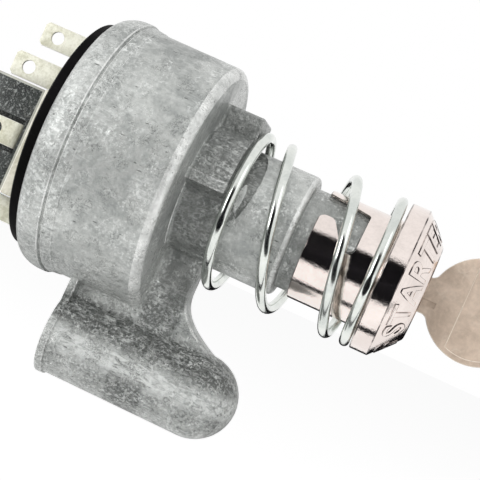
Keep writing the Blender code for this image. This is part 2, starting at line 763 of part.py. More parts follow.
def collar():
    """Make the raised half collar that seats the ferrule spring."""
    rear = CUP_FRONT_Y + FRONT_WALL / 2.0
    inner = (SPRING_CHAMBER_RADIUS + BARREL_RADIUS) / 2.0
    outline = arc((0.0, 0.0), COLLAR_RADIUS, COLLAR_START_ANGLE, 180.0 - COLLAR_START_ANGLE, COLLAR_STEPS)
    outline += arc((0.0, 0.0), inner, 180.0 - COLLAR_START_ANGLE, COLLAR_START_ANGLE, COLLAR_STEPS // 2)
    matrix = Matrix.Translation((0.0, (COLLAR_Y + rear) / 2.0, 0.0)) @ FACE
    return flat_plate("collar", [outline], rear - COLLAR_Y, matrix, CUTTERS)


def collar_rib(side):
    """Make the axial rib that ends the collar on one side."""
    inner = (SPRING_CHAMBER_RADIUS + BARREL_RADIUS) / 2.0
    reach = sorted((side * inner, side * COLLAR_RIB_REACH))
    low = (reach[0], COLLAR_Y - GAP, COLLAR_RIB_TOP - COLLAR_RIB)
    high = (reach[1], CUP_FRONT_Y + FRONT_WALL / 2.0, COLLAR_RIB_TOP)
    return block("collar_rib", low, high)


def collar_lug():
    """Make the square lug on top of the collar."""
    half = COLLAR_LUG_WIDTH / 2.0
    low = (-half, COLLAR_Y - GAP / 2.0, (SPRING_CHAMBER_RADIUS + BARREL_RADIUS) / 2.0)
    high = (half, CUP_FRONT_Y + FRONT_WALL / 2.0, COLLAR_LUG_TOP)
    return block("collar_lug", low, high)


def lug_centre_angle():
    """Return the angle of the bayonet lug's middle at rest.

    The slot is punched square to its own middle, so its end leans across
    the sleeve's wall, and the lug stands clear of that lean as well.
    """
    lean = SLEEVE_WALL * math.sin((SLOT_FAR_ANGLE - SLOT_END_ANGLE) / 2.0 * DEG)
    side_gap = (GAP + lean) / SLEEVE_RADIUS / DEG
    return SLOT_END_ANGLE + side_gap + LUG_ANGLE / 2.0


def bayonet_lug(turn):
    """Make one bayonet lug of the nose, rounded at its leading end."""
    width = SLOT_LEG - 2.0 * GAP
    length = 2.0 * SLEEVE_RADIUS * math.sin(LUG_ANGLE / 2.0 * DEG)
    end = width / 2.0 - ROUND_MARGIN
    front = SLOT_FRONT + GAP
    outline = rounded([
        (front, -length / 2.0, end),
        (front + width, -length / 2.0, end),
        (front + width, length / 2.0, LUG_CORNER),
        (front, length / 2.0, LUG_CORNER),
    ])
    matrix = around(turn) @ tangent_frame(lug_centre_angle(), NOSE_RADIUS + (LUG_HEIGHT - LUG_ROOT) / 2.0)
    return flat_plate("bayonet_lug", [outline], LUG_HEIGHT + LUG_ROOT, matrix, CUTTERS)


def broach():
    """Make the cutter for the wafer grooves in the plug bore."""
    half = WAFER_WIDTH / 2.0 + GAP
    end = WAFER_END_Y + WAFER_THICKNESS + GAP
    return block("broach", (-half, 0.0, -BROACH_RADIUS), (half, end, BROACH_RADIUS))


def web_pad():
    """Make the small round pad on the near face of the web."""
    place_z = -(CHAMBER_RADIUS + CUP_WALL + WEB_PAD_RADIUS)
    start = -WEB_THICKNESS / 2.0 - WEB_PAD_HEIGHT
    return rod(
        "web_pad",
        (start, CUP_FRONT_Y + WEB_PAD_PLACE, place_z - WEB_PAD_DROP),
        "X",
        WEB_PAD_RADIUS,
        WEB_PAD_HEIGHT + THROUGH,
        HOLE_STEPS,
    )


def make_housing():
    """Join and cut the casting."""
    body = housing_shell()
    added = [housing_boss(), housing_web(), end_flange(), collar(), collar_rib(-1), collar_rib(1)]
    added += [collar_lug(), bayonet_lug(0.0), bayonet_lug(180.0), web_pad()]
    for tool in added:
        combine(body, tool, "UNION")
    for tool in (housing_bore(), broach(), boss_core(), boss_flute(-1), boss_flute(1)):
        combine(body, tool, "DIFFERENCE")
    return finish(body, CAST_ZINC)


def slot_cutter(turn):
    """Make the cutter of one bayonet slot: a flared mouth, a ramp and a round seat."""
    middle = (SLOT_END_ANGLE + SLOT_FAR_ANGLE) / 2.0
    radius = SLEEVE_RADIUS - SLEEVE_WALL / 2.0

    def across(angle):
        return radius * math.sin((angle - middle) * DEG)

    end = across(SLOT_END_ANGLE)
    entry = across(SLOT_ENTRY_ANGLE)
    far = across(SLOT_FAR_ANGLE)
    mouth = across(SLOT_MOUTH_ANGLE)
    leg = SLOT_LEG / 2.0 - ROUND_MARGIN
    tongue = SLOT_TONGUE / 2.0 - ROUND_MARGIN
    outline = rounded([
        (SLOT_FRONT, end, leg),
        (SLOT_FRONT, far, SLOT_CORNER),
        (SLEEVE_LENGTH + THROUGH, mouth, 0.0),
        (SLEEVE_LENGTH + THROUGH, entry - tongue - THROUGH, 0.0),
        (SLEEVE_LENGTH, entry - tongue - THROUGH, 0.0),
        (SLEEVE_LENGTH, entry, tongue),
        (SLEEVE_LENGTH - SLOT_TONGUE, entry, tongue),
        (SLOT_FRONT + SLOT_LEG, end, leg),
    ])
    depth = SLOT_PUNCH_LENGTH
    matrix = around(turn) @ tangent_frame(middle, SLEEVE_RADIUS - depth / 2.0 + THROUGH)
    return flat_plate("bayonet_slot", [outline], depth, matrix, CUTTERS)


def make_ferrule(parent):
    """Turn the chromed ferrule and cut its two bayonet slots."""
    chamfer = FLANGE_CHAMFER
    inner_shoulder = -(NOSE_DEPTH + GAP)
    profile = [
        (SLEEVE_RADIUS, SLEEVE_LENGTH),
        (SLEEVE_RADIUS, 0.0),
        (FLANGE_RADIUS - chamfer, 0.0),
        (FLANGE_RADIUS, -chamfer),
        (FLANGE_RADIUS, -FLANGE_LENGTH + chamfer),
        (FLANGE_RADIUS - chamfer, -FLANGE_LENGTH),
    ]
    profile += [
        (FACE_RADIUS, FACE_Y + FACE_ROUND),
        (FACE_RADIUS - FACE_ROUND, FACE_Y),
        (FACE_OPENING + FACE_ROUND, FACE_Y),
        (FACE_OPENING, FACE_Y + FACE_ROUND),
        (FACE_OPENING, inner_shoulder),
        (SLEEVE_BORE, inner_shoulder),
        (SLEEVE_BORE, SLEEVE_LENGTH),
    ]
    ferrule = turned("ferrule", profile, FERRULE_STEPS)
    for turn in (0.0, 180.0):
        combine(ferrule, slot_cutter(turn), "DIFFERENCE")
    return finish(ferrule, CHROME, parent)


def wound_share(turn):
    """Return the share of the spring's length that is wound at a turn.

    The end turns lie flat and the pitch grows and fades between them.
    """
    rear, front = SPRING_REAR_RAMP, SPRING_FRONT_RAMP
    length = SPRING_TURNS - 2.0 * SPRING_FLAT
    t = min(max(turn - SPRING_FLAT, 0.0), length)
    start = min(t, rear)
    end = max(t - (length - front), 0.0)
    middle = t - start - end
    rise = start ** 2 / (2.0 * rear) + middle + end - end ** 2 / (2.0 * front)
    return rise / (length - (rear + front) / 2.0)


def make_ferrule_spring():
    """Wind the right-handed spring between the collar and the flange.

    The open turns near the collar lean with their tops to the rear, and
    the coil widens a little towards the collar.
    """
    wire_radius = SPRING_WIRE / 2.0
    rear = COLLAR_Y - GAP * 2.0 - wire_radius
    front = GAP + wire_radius
    count = round(SPRING_TURNS * SPRING_POINTS)
    points = []
    for i in range(count + 1):
        turn = SPRING_TURNS * i / count
        share = wound_share(turn)
        angle = SPRING_START_ANGLE * DEG + 2.0 * math.pi * turn
        radius = SPRING_RADIUS - wire_radius + SPRING_FLARE * (1.0 - share)
        lean = 4.0 * share * (1.0 - share) ** 2 * SPRING_LEAN * math.cos(angle)
        y = rear + (front - rear) * share + lean
        points.append((-radius * math.sin(angle), y, radius * math.cos(angle)))
    spring = wire("ferrule_spring", points, wire_radius, 2)
    return finish(spring, PLATED_WIRE)


def make_plug(parent):
    """Turn the lock plug, cut its keyway and wafer slots and add its tang."""
    bite = CLIP_THICKNESS / 2.0 + GAP
    profile = [
        (0.0, PLUG_END_Y),
        (PLUG_RADIUS, PLUG_END_Y),
        (PLUG_RADIUS, CLIP_Y + bite),
        (CLIP_BORE - GAP, CLIP_Y + bite),
        (CLIP_BORE - GAP, CLIP_Y - bite),
        (PLUG_RADIUS, CLIP_Y - bite),
        (PLUG_RADIUS, HEAD_SEAT),
        (HEAD_RADIUS, HEAD_SEAT),
        (HEAD_RADIUS, HEAD_Y + HEAD_CHAMFER),
        (HEAD_RADIUS - HEAD_CHAMFER, HEAD_Y),
        (0.0, HEAD_Y),
    ]
    plug = turned("lock_plug", profile, PLUG_STEPS)
    tang_low = (-TANG_WIDTH / 2.0, PLUG_END_Y - THROUGH, -TANG_THICKNESS / 2.0)
    tang_high = (TANG_WIDTH / 2.0, PLUG_END_Y + TANG_LENGTH, TANG_THICKNESS / 2.0)
    combine(plug, block("plug_tang", tang_low, tang_high), "UNION")
    half = KEYWAY_WIDTH / 2.0
    keyway = block(
        "keyway",
        (-half, HEAD_Y - THROUGH, -KEYWAY_HEIGHT / 2.0),
        (half, KEYWAY_END_Y, KEYWAY_HEIGHT / 2.0),
    )
    combine(plug, keyway, "DIFFERENCE")
    for i in range(WAFER_COUNT):
        centre = wafer_station(i)
        reach = WAFER_WIDTH / 2.0 + GAP
        thick = WAFER_THICKNESS / 2.0 + GAP
        slot = block(
            "wafer_slot",
            (-reach, centre - thick, -PLUG_BORE),
            (reach, centre + thick, PLUG_BORE),
        )
        combine(plug, slot, "DIFFERENCE")
    return finish(plug, PLUG_METAL, parent)


def wafer_station(index):
    """Return the middle of a wafer along the axis."""
    return HEAD_SEAT + WAFER_START + index * WAFER_PITCH


def make_wafer(index, parent):
    """Make one plate tumbler with its key window."""
    half = WAFER_WIDTH / 2.0
    radius = PLUG_RADIUS - WAFER_INSET
    top = math.degrees(math.acos(half / radius))
    outline = arc((0.0, 0.0), radius, top, 180.0 - top, 6)
    outline += arc((0.0, 0.0), radius, 180.0 + top, 360.0 - top, 6)
    window = [
        (-KEYWAY_WIDTH / 2.0, -KEYWAY_HEIGHT / 2.0),
        (KEYWAY_WIDTH / 2.0, -KEYWAY_HEIGHT / 2.0),
        (KEYWAY_WIDTH / 2.0, KEYWAY_HEIGHT / 2.0),
        (-KEYWAY_WIDTH / 2.0, KEYWAY_HEIGHT / 2.0),
    ]
    matrix = Matrix.Translation((0.0, wafer_station(index), 0.0)) @ FACE
    wafer = flat_plate("wafer_%d" % (index + 1), [outline, window], WAFER_THICKNESS, matrix)
    return finish(wafer, BRASS, parent)


def make_plug_clip():
    """Make the open spring ring that keeps the plug in the barrel."""
    half = CLIP_MOUTH_ANGLE / 2.0
    outline = arc((0.0, 0.0), CLIP_RADIUS, 90.0 + half, 450.0 - half, 24)
    outline += arc((0.0, 0.0), CLIP_BORE, 450.0 - half, 90.0 + half, 24)
    matrix = Matrix.Translation((0.0, CLIP_Y, 0.0)) @ FACE
    clip = flat_plate("plug_clip", [outline], CLIP_THICKNESS, matrix)
    return finish(clip, SPRING_STEEL)


def key_outline():
    """Return the key's side outline, from the blade's tip round the bow."""
    shoulder = KEY_SHOULDER_Y
    tip = BLADE_END_Y
    half = BLADE_HEIGHT / 2.0
    neck = NECK_HEIGHT / 2.0
    bow = (BOW_Y, BOW_RISE)
    top_fillet = (0.0, neck + BOW_FILLET)
    reach = BOW_RADIUS + BOW_FILLET
    top_y = bow[0] + math.sqrt(reach ** 2 - (top_fillet[1] - bow[1]) ** 2)
    low_z = -(neck + BOW_FILLET)
    low_y = bow[0] + math.sqrt(reach ** 2 - (low_z - bow[1]) ** 2)
    top_angle = math.degrees(math.atan2(top_fillet[1] - bow[1], top_y - bow[0]))
    low_angle = math.degrees(math.atan2(low_z - bow[1], low_y - bow[0]))
    outline = [(tip, -BLADE_NOSE), (tip, BLADE_NOSE), (tip - BLADE_TIP, half)]
    for i in reversed(range(WAFER_COUNT)):
        centre = wafer_station(i)
        floor = half - CUT_DEPTHS[i % len(CUT_DEPTHS)]
        ramp = CUT_WIDTH / 2.0 + (half - floor) * CUT_SLOPE
        outline += [
            (centre + ramp, half),
            (centre + CUT_WIDTH / 2.0, floor),
            (centre - CUT_WIDTH / 2.0, floor),
            (centre - ramp, half),
        ]
    outline += [(shoulder, half), (shoulder, neck)]
    outline += arc((top_y, top_fillet[1]), BOW_FILLET, -90.0, -180.0 + top_angle, 4)
    outline += arc(bow, BOW_RADIUS, top_angle, 360.0 + low_angle, KEY_BOW_STEPS)[1:-1]
    outline += arc((low_y, low_z), BOW_FILLET, 180.0 + low_angle, 90.0, 4)
    outline += [(shoulder, -neck), (shoulder, -half), (tip - BLADE_TIP, -half)]
    return outline


def bow_recess(side):
    """Make the cutter that sinks one face of the bow behind its step."""
    radius = BOW_RADIUS - BOW_RIM
    angle = math.degrees(math.acos(BOW_STEP_PLACE / radius))
    outline = arc((BOW_Y, BOW_RISE), radius, angle, 360.0 - angle, KEY_RECESS_STEPS)
    centre = side * (KEY_THICKNESS / 2.0 - BOW_RECESS + THROUGH / 2.0)
    matrix = Matrix.Translation((centre, 0.0, 0.0)) @ SIDE
    return flat_plate("bow_recess", [outline], THROUGH, matrix, CUTTERS)


def make_key(parent):
    """Cut the key from plate, with its hole, grooves and sunk bow."""
    hole_y = BOW_Y - BOW_RADIUS + BOW_HOLE_WALL + BOW_HOLE_RADIUS
    hole = circle((hole_y, BOW_RISE), BOW_HOLE_RADIUS, KEY_HOLE_STEPS)
    key = flat_plate("key", [key_outline(), hole], KEY_THICKNESS, SIDE)
    for side in (-1, 1):
        combine(key, bow_recess(side), "DIFFERENCE")
        face = side * KEY_THICKNESS / 2.0
        reach = sorted((face - side * BLADE_GROOVE_DEPTH, face + side * THROUGH))
        groove = block(
            "blade_groove",
            (reach[0], HEAD_Y - NECK_HEIGHT / 2.0, -BLADE_GROOVE_WIDTH / 2.0 - BLADE_GROOVE_DROP),
            (reach[1], BLADE_END_Y + THROUGH, BLADE_GROOVE_WIDTH / 2.0 - BLADE_GROOVE_DROP),
        )
        combine(key, groove, "DIFFERENCE")
    return finish(key, KEY_METAL, parent)


def make_shaft(parent):
    """Turn the drive shaft, with its slot for the tang and its square end."""
    spool_front = SPRING_CHAMBER_Y + GAP
    profile = [
        (0.0, SQUARE_Y),
        (SHAFT_FLANGE_RADIUS, SQUARE_Y),
        (SHAFT_FLANGE_RADIUS, SHAFT_FLANGE_Y),
        (SPOOL_RADIUS, SHAFT_FLANGE_Y),
        (SPOOL_RADIUS, spool_front),
        (SHAFT_RADIUS, spool_front),
        (SHAFT_RADIUS, SHAFT_Y),
        (0.0, SHAFT_Y),
    ]
    shaft = turned("drive_shaft", profile, SHAFT_STEPS)
    half = SHAFT_SQUARE / 2.0
    square = block(
        "shaft_square",
        (-half, SQUARE_Y - THROUGH, -half),
        (half, SQUARE_END_Y, half),
    )
    combine(shaft, square, "UNION")
    slot = block(
        "shaft_slot",
        (-SHAFT_RADIUS - THROUGH, SHAFT_Y - THROUGH, -TANG_THICKNESS / 2.0 - GAP),
        (SHAFT_RADIUS + THROUGH, PLUG_END_Y + TANG_LENGTH + GAP, TANG_THICKNESS / 2.0 + GAP),
    )
    combine(shaft, slot, "DIFFERENCE")
    return finish(shaft, PLUG_METAL, parent)


def make_return_spring(parent):
    """Wind the torsion spring on the shaft's spool, with its two legs."""
    radius = SPOOL_RADIUS + GAP + RETURN_WIRE / 2.0
    start = SPRING_CHAMBER_Y + RETURN_START
    points = helix(radius, start, RETURN_TURNS, lambda turn: RETURN_PITCH * turn, 0.0, COIL_POINTS)
    first = points[0]
    last = points[-1]
    grow = (radius + RETURN_LEG) / radius
    points.insert(0, (first[0] * grow, first[1], first[2] * grow))
    points.append((last[0] * grow, last[1], last[2] * grow))
    spring = wire("return_spring", points, RETURN_WIRE / 2.0, 1)
    return finish(spring, SPRING_STEEL, parent)


def detent_places():
    """Return the two places of the detents in the face plane."""
    return ((-BALL_CIRCLE, 0.0), (BALL_CIRCLE, 0.0))


def make_carrier(parent):
    """Turn the moulded contact carrier and cut its square hole and pockets."""
    recess = SHAFT_FLANGE_RADIUS + GAP
    profile = [
        (0.0, HUB_END_Y),
        (HUB_RADIUS, HUB_END_Y),
        (HUB_RADIUS, CARRIER_REAR_Y),
        (CARRIER_RADIUS - CARRIER_CHAMFER, CARRIER_REAR_Y),
        (CARRIER_RADIUS, CARRIER_REAR_Y - CARRIER_CHAMFER),
        (CARRIER_RADIUS, CARRIER_Y),
        (recess, CARRIER_Y),
        (recess, SQUARE_Y + GAP),
        (0.0, SQUARE_Y + GAP),
    ]
    carrier = turned("contact_carrier", profile, CARRIER_STEPS)
    for side in (-1, 1):
        reach = sorted((side * HUB_FLATS / 2.0, side * (HUB_RADIUS + THROUGH)))
        flat = block(
            "hub_flat",
            (reach[0], CARRIER_REAR_Y, -HUB_RADIUS - THROUGH),
            (reach[1], HUB_END_Y + THROUGH, HUB_RADIUS + THROUGH),
        )
        combine(carrier, flat, "DIFFERENCE")
    half = SHAFT_SQUARE / 2.0 + GAP
    square = block("square_hole", (-half, CARRIER_Y, -half), (half, HUB_END_Y + THROUGH, half))
    combine(carrier, square, "DIFFERENCE")
    for x, z in detent_places():
        pocket = rod(
            "detent_pocket",
            (x, CARRIER_Y - THROUGH, z),
            "Y",
            BALL_RADIUS + GAP,
            DETENT_POCKET_DEPTH + THROUGH,
            DETENT_STEPS,
        )
        combine(carrier, pocket, "DIFFERENCE")
    return finish(carrier, BROWN_MOULDING, parent)


def make_detents(parent):
    """Make the two detent balls and the springs behind them."""
    wire_radius = DETENT_WIRE / 2.0
    radius = BALL_RADIUS - wire_radius
    front = BALL_Y + BALL_RADIUS + GAP + wire_radius
    rear = CARRIER_Y + DETENT_POCKET_DEPTH - GAP - wire_radius
    for number, (x, z) in enumerate(detent_places(), 1):
        detent = ball("detent_ball_%d" % number, (x, BALL_Y, z), BALL_RADIUS)
        finish(detent, SPRING_STEEL, parent)
        points = helix(
            radius, front, DETENT_TURNS, lambda turn: (rear - front) * turn / DETENT_TURNS, 0.0, 10
        )
        moved = [(x + px, py, z + pz) for px, py, pz in points]
        spring = wire("detent_spring_%d" % number, moved, wire_radius, 0)
        finish(spring, SPRING_STEEL, parent)


def contact_places():
    """Return the bridge's contact places in the face plane."""
    places = [(CONTACT_CIRCLE, angle) for angle in CONTACT_ANGLES]
    places.append((START_CONTACT_CIRCLE, START_CONTACT_ANGLE))
    return places


def make_bridge(parent):
    """Make the copper bridge with an arm and a raised contact for each place."""
    centre_y = BRIDGE_Y + BRIDGE_THICKNESS / 2.0
    matrix = Matrix.Translation((0.0, centre_y, 0.0)) @ FACE
    flat = HUB_FLATS / 2.0 + GAP
    hub = HUB_RADIUS + GAP
    start = math.degrees(math.acos(flat / hub))
    hole = arc((0.0, 0.0), hub, start, 180.0 - start, 6)
    hole += arc((0.0, 0.0), hub, 180.0 + start, 360.0 - start, 6)
    disc = [circle((0.0, 0.0), BRIDGE_HUB_RADIUS, BRIDGE_STEPS), hole]
    bridge = flat_plate("contact_bridge", disc, BRIDGE_THICKNESS, matrix)
    half = BRIDGE_ARM_WIDTH / 2.0
    for reach, angle in contact_places():
        root = BRIDGE_HUB_RADIUS - BRIDGE_ARM_ROOT
        outline = [(root, half), (root, -half)]
        outline += arc((reach, 0.0), half, -90.0, 90.0, 8)
        turn = Matrix.Rotation(-angle * DEG, 4, "Y")
        arm = flat_plate("bridge_arm", [outline], BRIDGE_THICKNESS, turn @ matrix, CUTTERS)
        combine(bridge, arm, "UNION")
        x = reach * math.cos(angle * DEG)
        z = reach * math.sin(angle * DEG)
        contact = rod(
            "bridge_contact",
            (x, BRIDGE_Y + BRIDGE_THICKNESS / 2.0, z),
            "Y",
            CONTACT_RADIUS,
            BRIDGE_THICKNESS / 2.0 + CONTACT_HEIGHT,
            DETENT_STEPS,
        )
        combine(bridge, contact, "UNION")
    return finish(bridge, COPPER, parent)


def make_contact_spring(parent):
    """Wind the spring that presses the bridge on the rivets."""
    wire_radius = CONTACT_WIRE / 2.0
    radius = HUB_RADIUS + GAP + wire_radius
    front = CARRIER_REAR_Y + GAP + wire_radius
    rear = BRIDGE_Y - GAP - wire_radius
    points = helix(
        radius, front, CONTACT_TURNS, lambda turn: (rear - front) * turn / CONTACT_TURNS, 0.0, COIL_POINTS
    )
    spring = wire("contact_spring", points, wire_radius, 1)
    return finish(spring, SPRING_STEEL, parent)


def rivet_places():
    """Return each contact rivet's place and the foot height that it holds."""
    foot = PLATE_REAR_Y + GAP + TAB_THICKNESS
    block_foot = SLAB_Y + CHANNEL_FLOOR + GAP + TAB_THICKNESS
    return (
        (UPPER_TAB, foot),
        (NEAR_TAB, foot),
        (LOWER_TAB, foot),
        (BLOCK_TAB, block_foot),
    )


def make_rivet(number, tab, foot_rear):
    """Turn one contact rivet, from its inner head to its peened tail."""
    tail = foot_rear + GAP
    profile = [
        (0.0, tail + RIVET_TAIL_THICKNESS),
        (RIVET_TAIL_TOP, tail + RIVET_TAIL_THICKNESS),
        (RIVET_TAIL_RADIUS, tail),
        (RIVET_SHANK_RADIUS, tail),
        (RIVET_SHANK_RADIUS, PLATE_FRONT_Y - GAP),
        (RIVET_HEAD_RADIUS, PLATE_FRONT_Y - GAP),
        (RIVET_HEAD_RADIUS, RIVET_HEAD_Y + RIVET_HEAD_CHAMFER[1]),
        (RIVET_HEAD_RADIUS - RIVET_HEAD_CHAMFER[0], RIVET_HEAD_Y),
        (0.0, RIVET_HEAD_Y),
    ]
    rivet = turned("contact_rivet_%d" % number, profile, RIVET_STEPS)
    rivet.matrix_world = Matrix.Translation((tab[0] + RIVET_PLACE, 0.0, tab[1])) @ rivet.matrix_world
    return finish(rivet, COPPER)


def make_terminal(name, tab, foot_y, length):
    """Fold one spade terminal: a riveted foot and an upright blade."""
    x, z = tab
    near = x - TAB_THICKNESS / 2.0
    far = near + TAB_THICKNESS
    foot_rear = foot_y + TAB_THICKNESS
    tip = foot_y + length
    inner_bend = TAB_BEND - TAB_THICKNESS
    outline = rounded([
        (near, foot_y, TAB_BEND),
        (near + TAB_FOOT, foot_y, 0.0),
        (near + TAB_FOOT, foot_rear, 0.0),
        (far, foot_rear, inner_bend),
        (far, tip, 0.0),
        (near, tip, 0.0),
    ])
    strip = flat_plate(name, [outline], TAB_WIDTH, Matrix.Translation((0.0, 0.0, z)) @ PLAN)
    half = TAB_WIDTH / 2.0
    chamfer = TAB_TIP_CHAMFER
    mask = flat_plate(
        name + "_mask",
        [[
            (foot_y - THROUGH, z - half - THROUGH),
            (tip - chamfer, z - half - THROUGH),
            (tip - chamfer, z - half),
            (tip, z - half + chamfer),
            (tip, z + half - chamfer),
            (tip - chamfer, z + half),
            (tip - chamfer, z + half + THROUGH),
            (foot_y - THROUGH, z + half + THROUGH),
        ]],
        4.0 * TAB_FOOT,
        Matrix.Translation((x, 0.0, 0.0)) @ SIDE,
        CUTTERS,
    )
    combine(strip, mask, "INTERSECT")
    hole = rod(
        name + "_hole",
        (near - THROUGH, tip - TAB_HOLE_INSET, z),
        "X",
        TAB_HOLE_RADIUS,
        TAB_THICKNESS + 2.0 * THROUGH,
        HOLE_STEPS,
    )
    combine(strip, hole, "DIFFERENCE")
    rivet_hole = rod(
        name + "_rivet_hole",
        (x + RIVET_PLACE, foot_y - THROUGH, z),
        "Y",
        RIVET_SHANK_RADIUS + GAP,
        TAB_THICKNESS + 2.0 * THROUGH,
        RIVET_STEPS,
    )
    combine(strip, rivet_hole, "DIFFERENCE")
    return finish(strip, TINNED_STRIP)


def make_terminal_plate():
    """Turn the terminal plate, add its block and cut the rivet holes."""
    chamfer = PLATE_CHAMFER
    flange_front = SEAT_Y + GAP
    flange_rear = flange_front + PLATE_FLANGE
    profile = [
        (0.0, PLATE_REAR_Y),
        (PLATE_RADIUS - chamfer, PLATE_REAR_Y),
        (PLATE_RADIUS, PLATE_REAR_Y - chamfer),
        (PLATE_RADIUS, flange_rear),
        (PLATE_FLANGE_RADIUS, flange_rear),
        (PLATE_FLANGE_RADIUS, flange_front),
        (CHAMBER_RADIUS - GAP, flange_front),
        (CHAMBER_RADIUS - GAP, PLATE_FRONT_Y),
        (0.0, PLATE_FRONT_Y),
    ]
    plate = turned("terminal_plate", profile, PLATE_STEPS)
    border = SLAB_BORDER
    slab = block(
        "slab",
        (-BLOCK_NEAR - border, PLATE_REAR_Y - BLOCK_ROOT, -BLOCK_BOTTOM - border / 2.0),
        (BLOCK_FAR + border, SLAB_Y, BLOCK_TOP + border / 2.0),
    )
    combine(plate, slab, "UNION")
    tower = block(
        "tower",
        (-BLOCK_NEAR, SLAB_Y - BLOCK_ROOT, -BLOCK_BOTTOM),
        (BLOCK_FAR, BLOCK_END_Y, BLOCK_TOP),
    )
    bevel = tower.modifiers.new("Edges", "BEVEL")
    bevel.width = BLOCK_BEVEL
    bevel.segments = 2
    combine(plate, tower, "UNION")
    pip_y, pip_z = BLOCK_PIP_PLACE
    pip = rod(
        "block_pip",
        (-BLOCK_NEAR - BLOCK_PIP_HEIGHT, SLAB_Y + pip_y, pip_z),
        "X",
        BLOCK_PIP_RADIUS,
        BLOCK_PIP_HEIGHT + THROUGH,
        HOLE_STEPS,
    )
    combine(plate, pip, "UNION")
    half = TAB_WIDTH / 2.0 + CHANNEL_SIDE_GAP
    channel = block(
        "terminal_channel",
        (-BLOCK_NEAR - border - THROUGH, SLAB_Y + CHANNEL_FLOOR, BLOCK_TAB[1] - half),
        (-BLOCK_NEAR + CHANNEL_DEPTH, BLOCK_END_Y + THROUGH, BLOCK_TAB[1] + half),
    )
    combine(plate, channel, "DIFFERENCE")
    for tab, _ in rivet_places():
        hole = rod(
            "plate_hole",
            (tab[0] + RIVET_PLACE, PLATE_FRONT_Y - THROUGH, tab[1]),
            "Y",
            RIVET_SHANK_RADIUS + GAP,
            SLAB_Y + CHANNEL_FLOOR - PLATE_FRONT_Y + 2.0 * THROUGH,
            RIVET_STEPS,
        )
        combine(plate, hole, "DIFFERENCE")
    return finish(plate, BLACK_MOULDING)


def axis_empty(name, parent=None):
    """Make an empty on the barrel's axis to carry a moving group."""
    empty = bpy.data.objects.new(name, None)
    collection(MODEL).objects.link(empty)
    if parent is not None:
        empty.parent = parent
    return empty


def build():
    """Make every piece of the switch."""
    clear_scene()
    cylinder = axis_empty("lock_cylinder_axis")
    key_way = axis_empty("key_axis", cylinder)
    bayonet = axis_empty("ferrule_axis")
    make_housing()
    make_terminal_plate()
    foot = PLATE_REAR_Y + GAP
    make_terminal("upper_terminal", UPPER_TAB, foot, TAB_LENGTH)
    make_terminal("near_terminal", NEAR_TAB, foot, TAB_LENGTH)
    make_terminal("lower_terminal", LOWER_TAB, foot, TAB_LENGTH)
    make_terminal("block_terminal", BLOCK_TAB, SLAB_Y + CHANNEL_FLOOR + GAP, BLOCK_TAB_LENGTH)
    for number, (tab, foot_rear) in enumerate(rivet_places(), 1):
        make_rivet(number, tab, foot_rear)
    make_ferrule_spring()
    make_ferrule(bayonet)
    make_plug_clip()
    make_plug(cylinder)
    for index in range(WAFER_COUNT):
        make_wafer(index, cylinder)
    make_shaft(cylinder)
    make_return_spring(cylinder)
    make_carrier(cylinder)
    make_detents(cylinder)
    make_contact_spring(cylinder)
    make_bridge(cylinder)
    make_key(key_way)
    bpy.context.view_layer.update()


build()
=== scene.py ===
"""Dresses the packed ignition switch and sets it in a plain studio.

The barrel's axis is Y with the key towards -Y, Z is up, and the near side is
-X. All sizes are in metres.
"""

import json
import logging
import math
from dataclasses import dataclass
from enum import Enum
from typing import Any, Iterable, Optional, Sequence

import bmesh
import bpy
from mathutils import Matrix, Vector

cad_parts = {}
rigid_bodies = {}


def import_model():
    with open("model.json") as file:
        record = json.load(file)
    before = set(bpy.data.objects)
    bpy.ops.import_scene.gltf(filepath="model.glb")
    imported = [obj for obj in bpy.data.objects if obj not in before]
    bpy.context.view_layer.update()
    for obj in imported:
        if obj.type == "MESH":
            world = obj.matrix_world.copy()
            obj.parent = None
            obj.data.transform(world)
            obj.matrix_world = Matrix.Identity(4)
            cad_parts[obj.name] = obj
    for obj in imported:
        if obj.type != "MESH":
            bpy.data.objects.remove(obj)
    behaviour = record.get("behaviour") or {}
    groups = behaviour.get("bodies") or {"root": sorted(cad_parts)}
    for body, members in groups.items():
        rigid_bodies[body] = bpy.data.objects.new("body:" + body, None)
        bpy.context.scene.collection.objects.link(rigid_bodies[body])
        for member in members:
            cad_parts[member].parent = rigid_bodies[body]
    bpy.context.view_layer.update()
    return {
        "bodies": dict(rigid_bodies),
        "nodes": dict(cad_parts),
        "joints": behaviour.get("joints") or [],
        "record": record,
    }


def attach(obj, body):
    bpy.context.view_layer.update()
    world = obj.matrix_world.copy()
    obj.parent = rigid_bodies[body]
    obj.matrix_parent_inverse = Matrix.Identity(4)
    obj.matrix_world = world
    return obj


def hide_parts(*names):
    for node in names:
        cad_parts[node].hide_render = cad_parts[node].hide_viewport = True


MM = 0.001
DEG = math.pi / 180.0
# distance under which vertices are merged
WELD = 0.004 * MM
# degrees that one chord of a rounded corner spans
CHORD = 22.0
# name of the attribute that marks the edges that take a finish's edge colour: rubbed wear and painted
# highlights, and on chrome painted dark reflections
EDGE = "edge"
# the barrel's oval scar: its middle as y and degrees from -X towards +Z, and half its length
SCAR = (39.1 * MM, 28.0)
SCAR_REACH = 3.9 * MM
LOG = logging.getLogger("switch")

Colour = tuple[float, float, float]
Corner = tuple[float, float, float]
Place = tuple[float, float, float]
Point = tuple[float, float]


class Body(Enum):
    """The bodies that the pieces ride on."""

    SWITCH = "switch_body"
    FERRULE = "ferrule"
    CYLINDER = "lock_cylinder"
    KEY = "key"


class Plane(Enum):
    """Planes in which a flat outline is drawn."""

    SIDE = Matrix(((0, 0, 1, 0), (1, 0, 0, 0), (0, 1, 0, 0), (0, 0, 0, 1)))
    FACE = Matrix(((1, 0, 0, 0), (0, 0, -1, 0), (0, 1, 0, 0), (0, 0, 0, 1)))


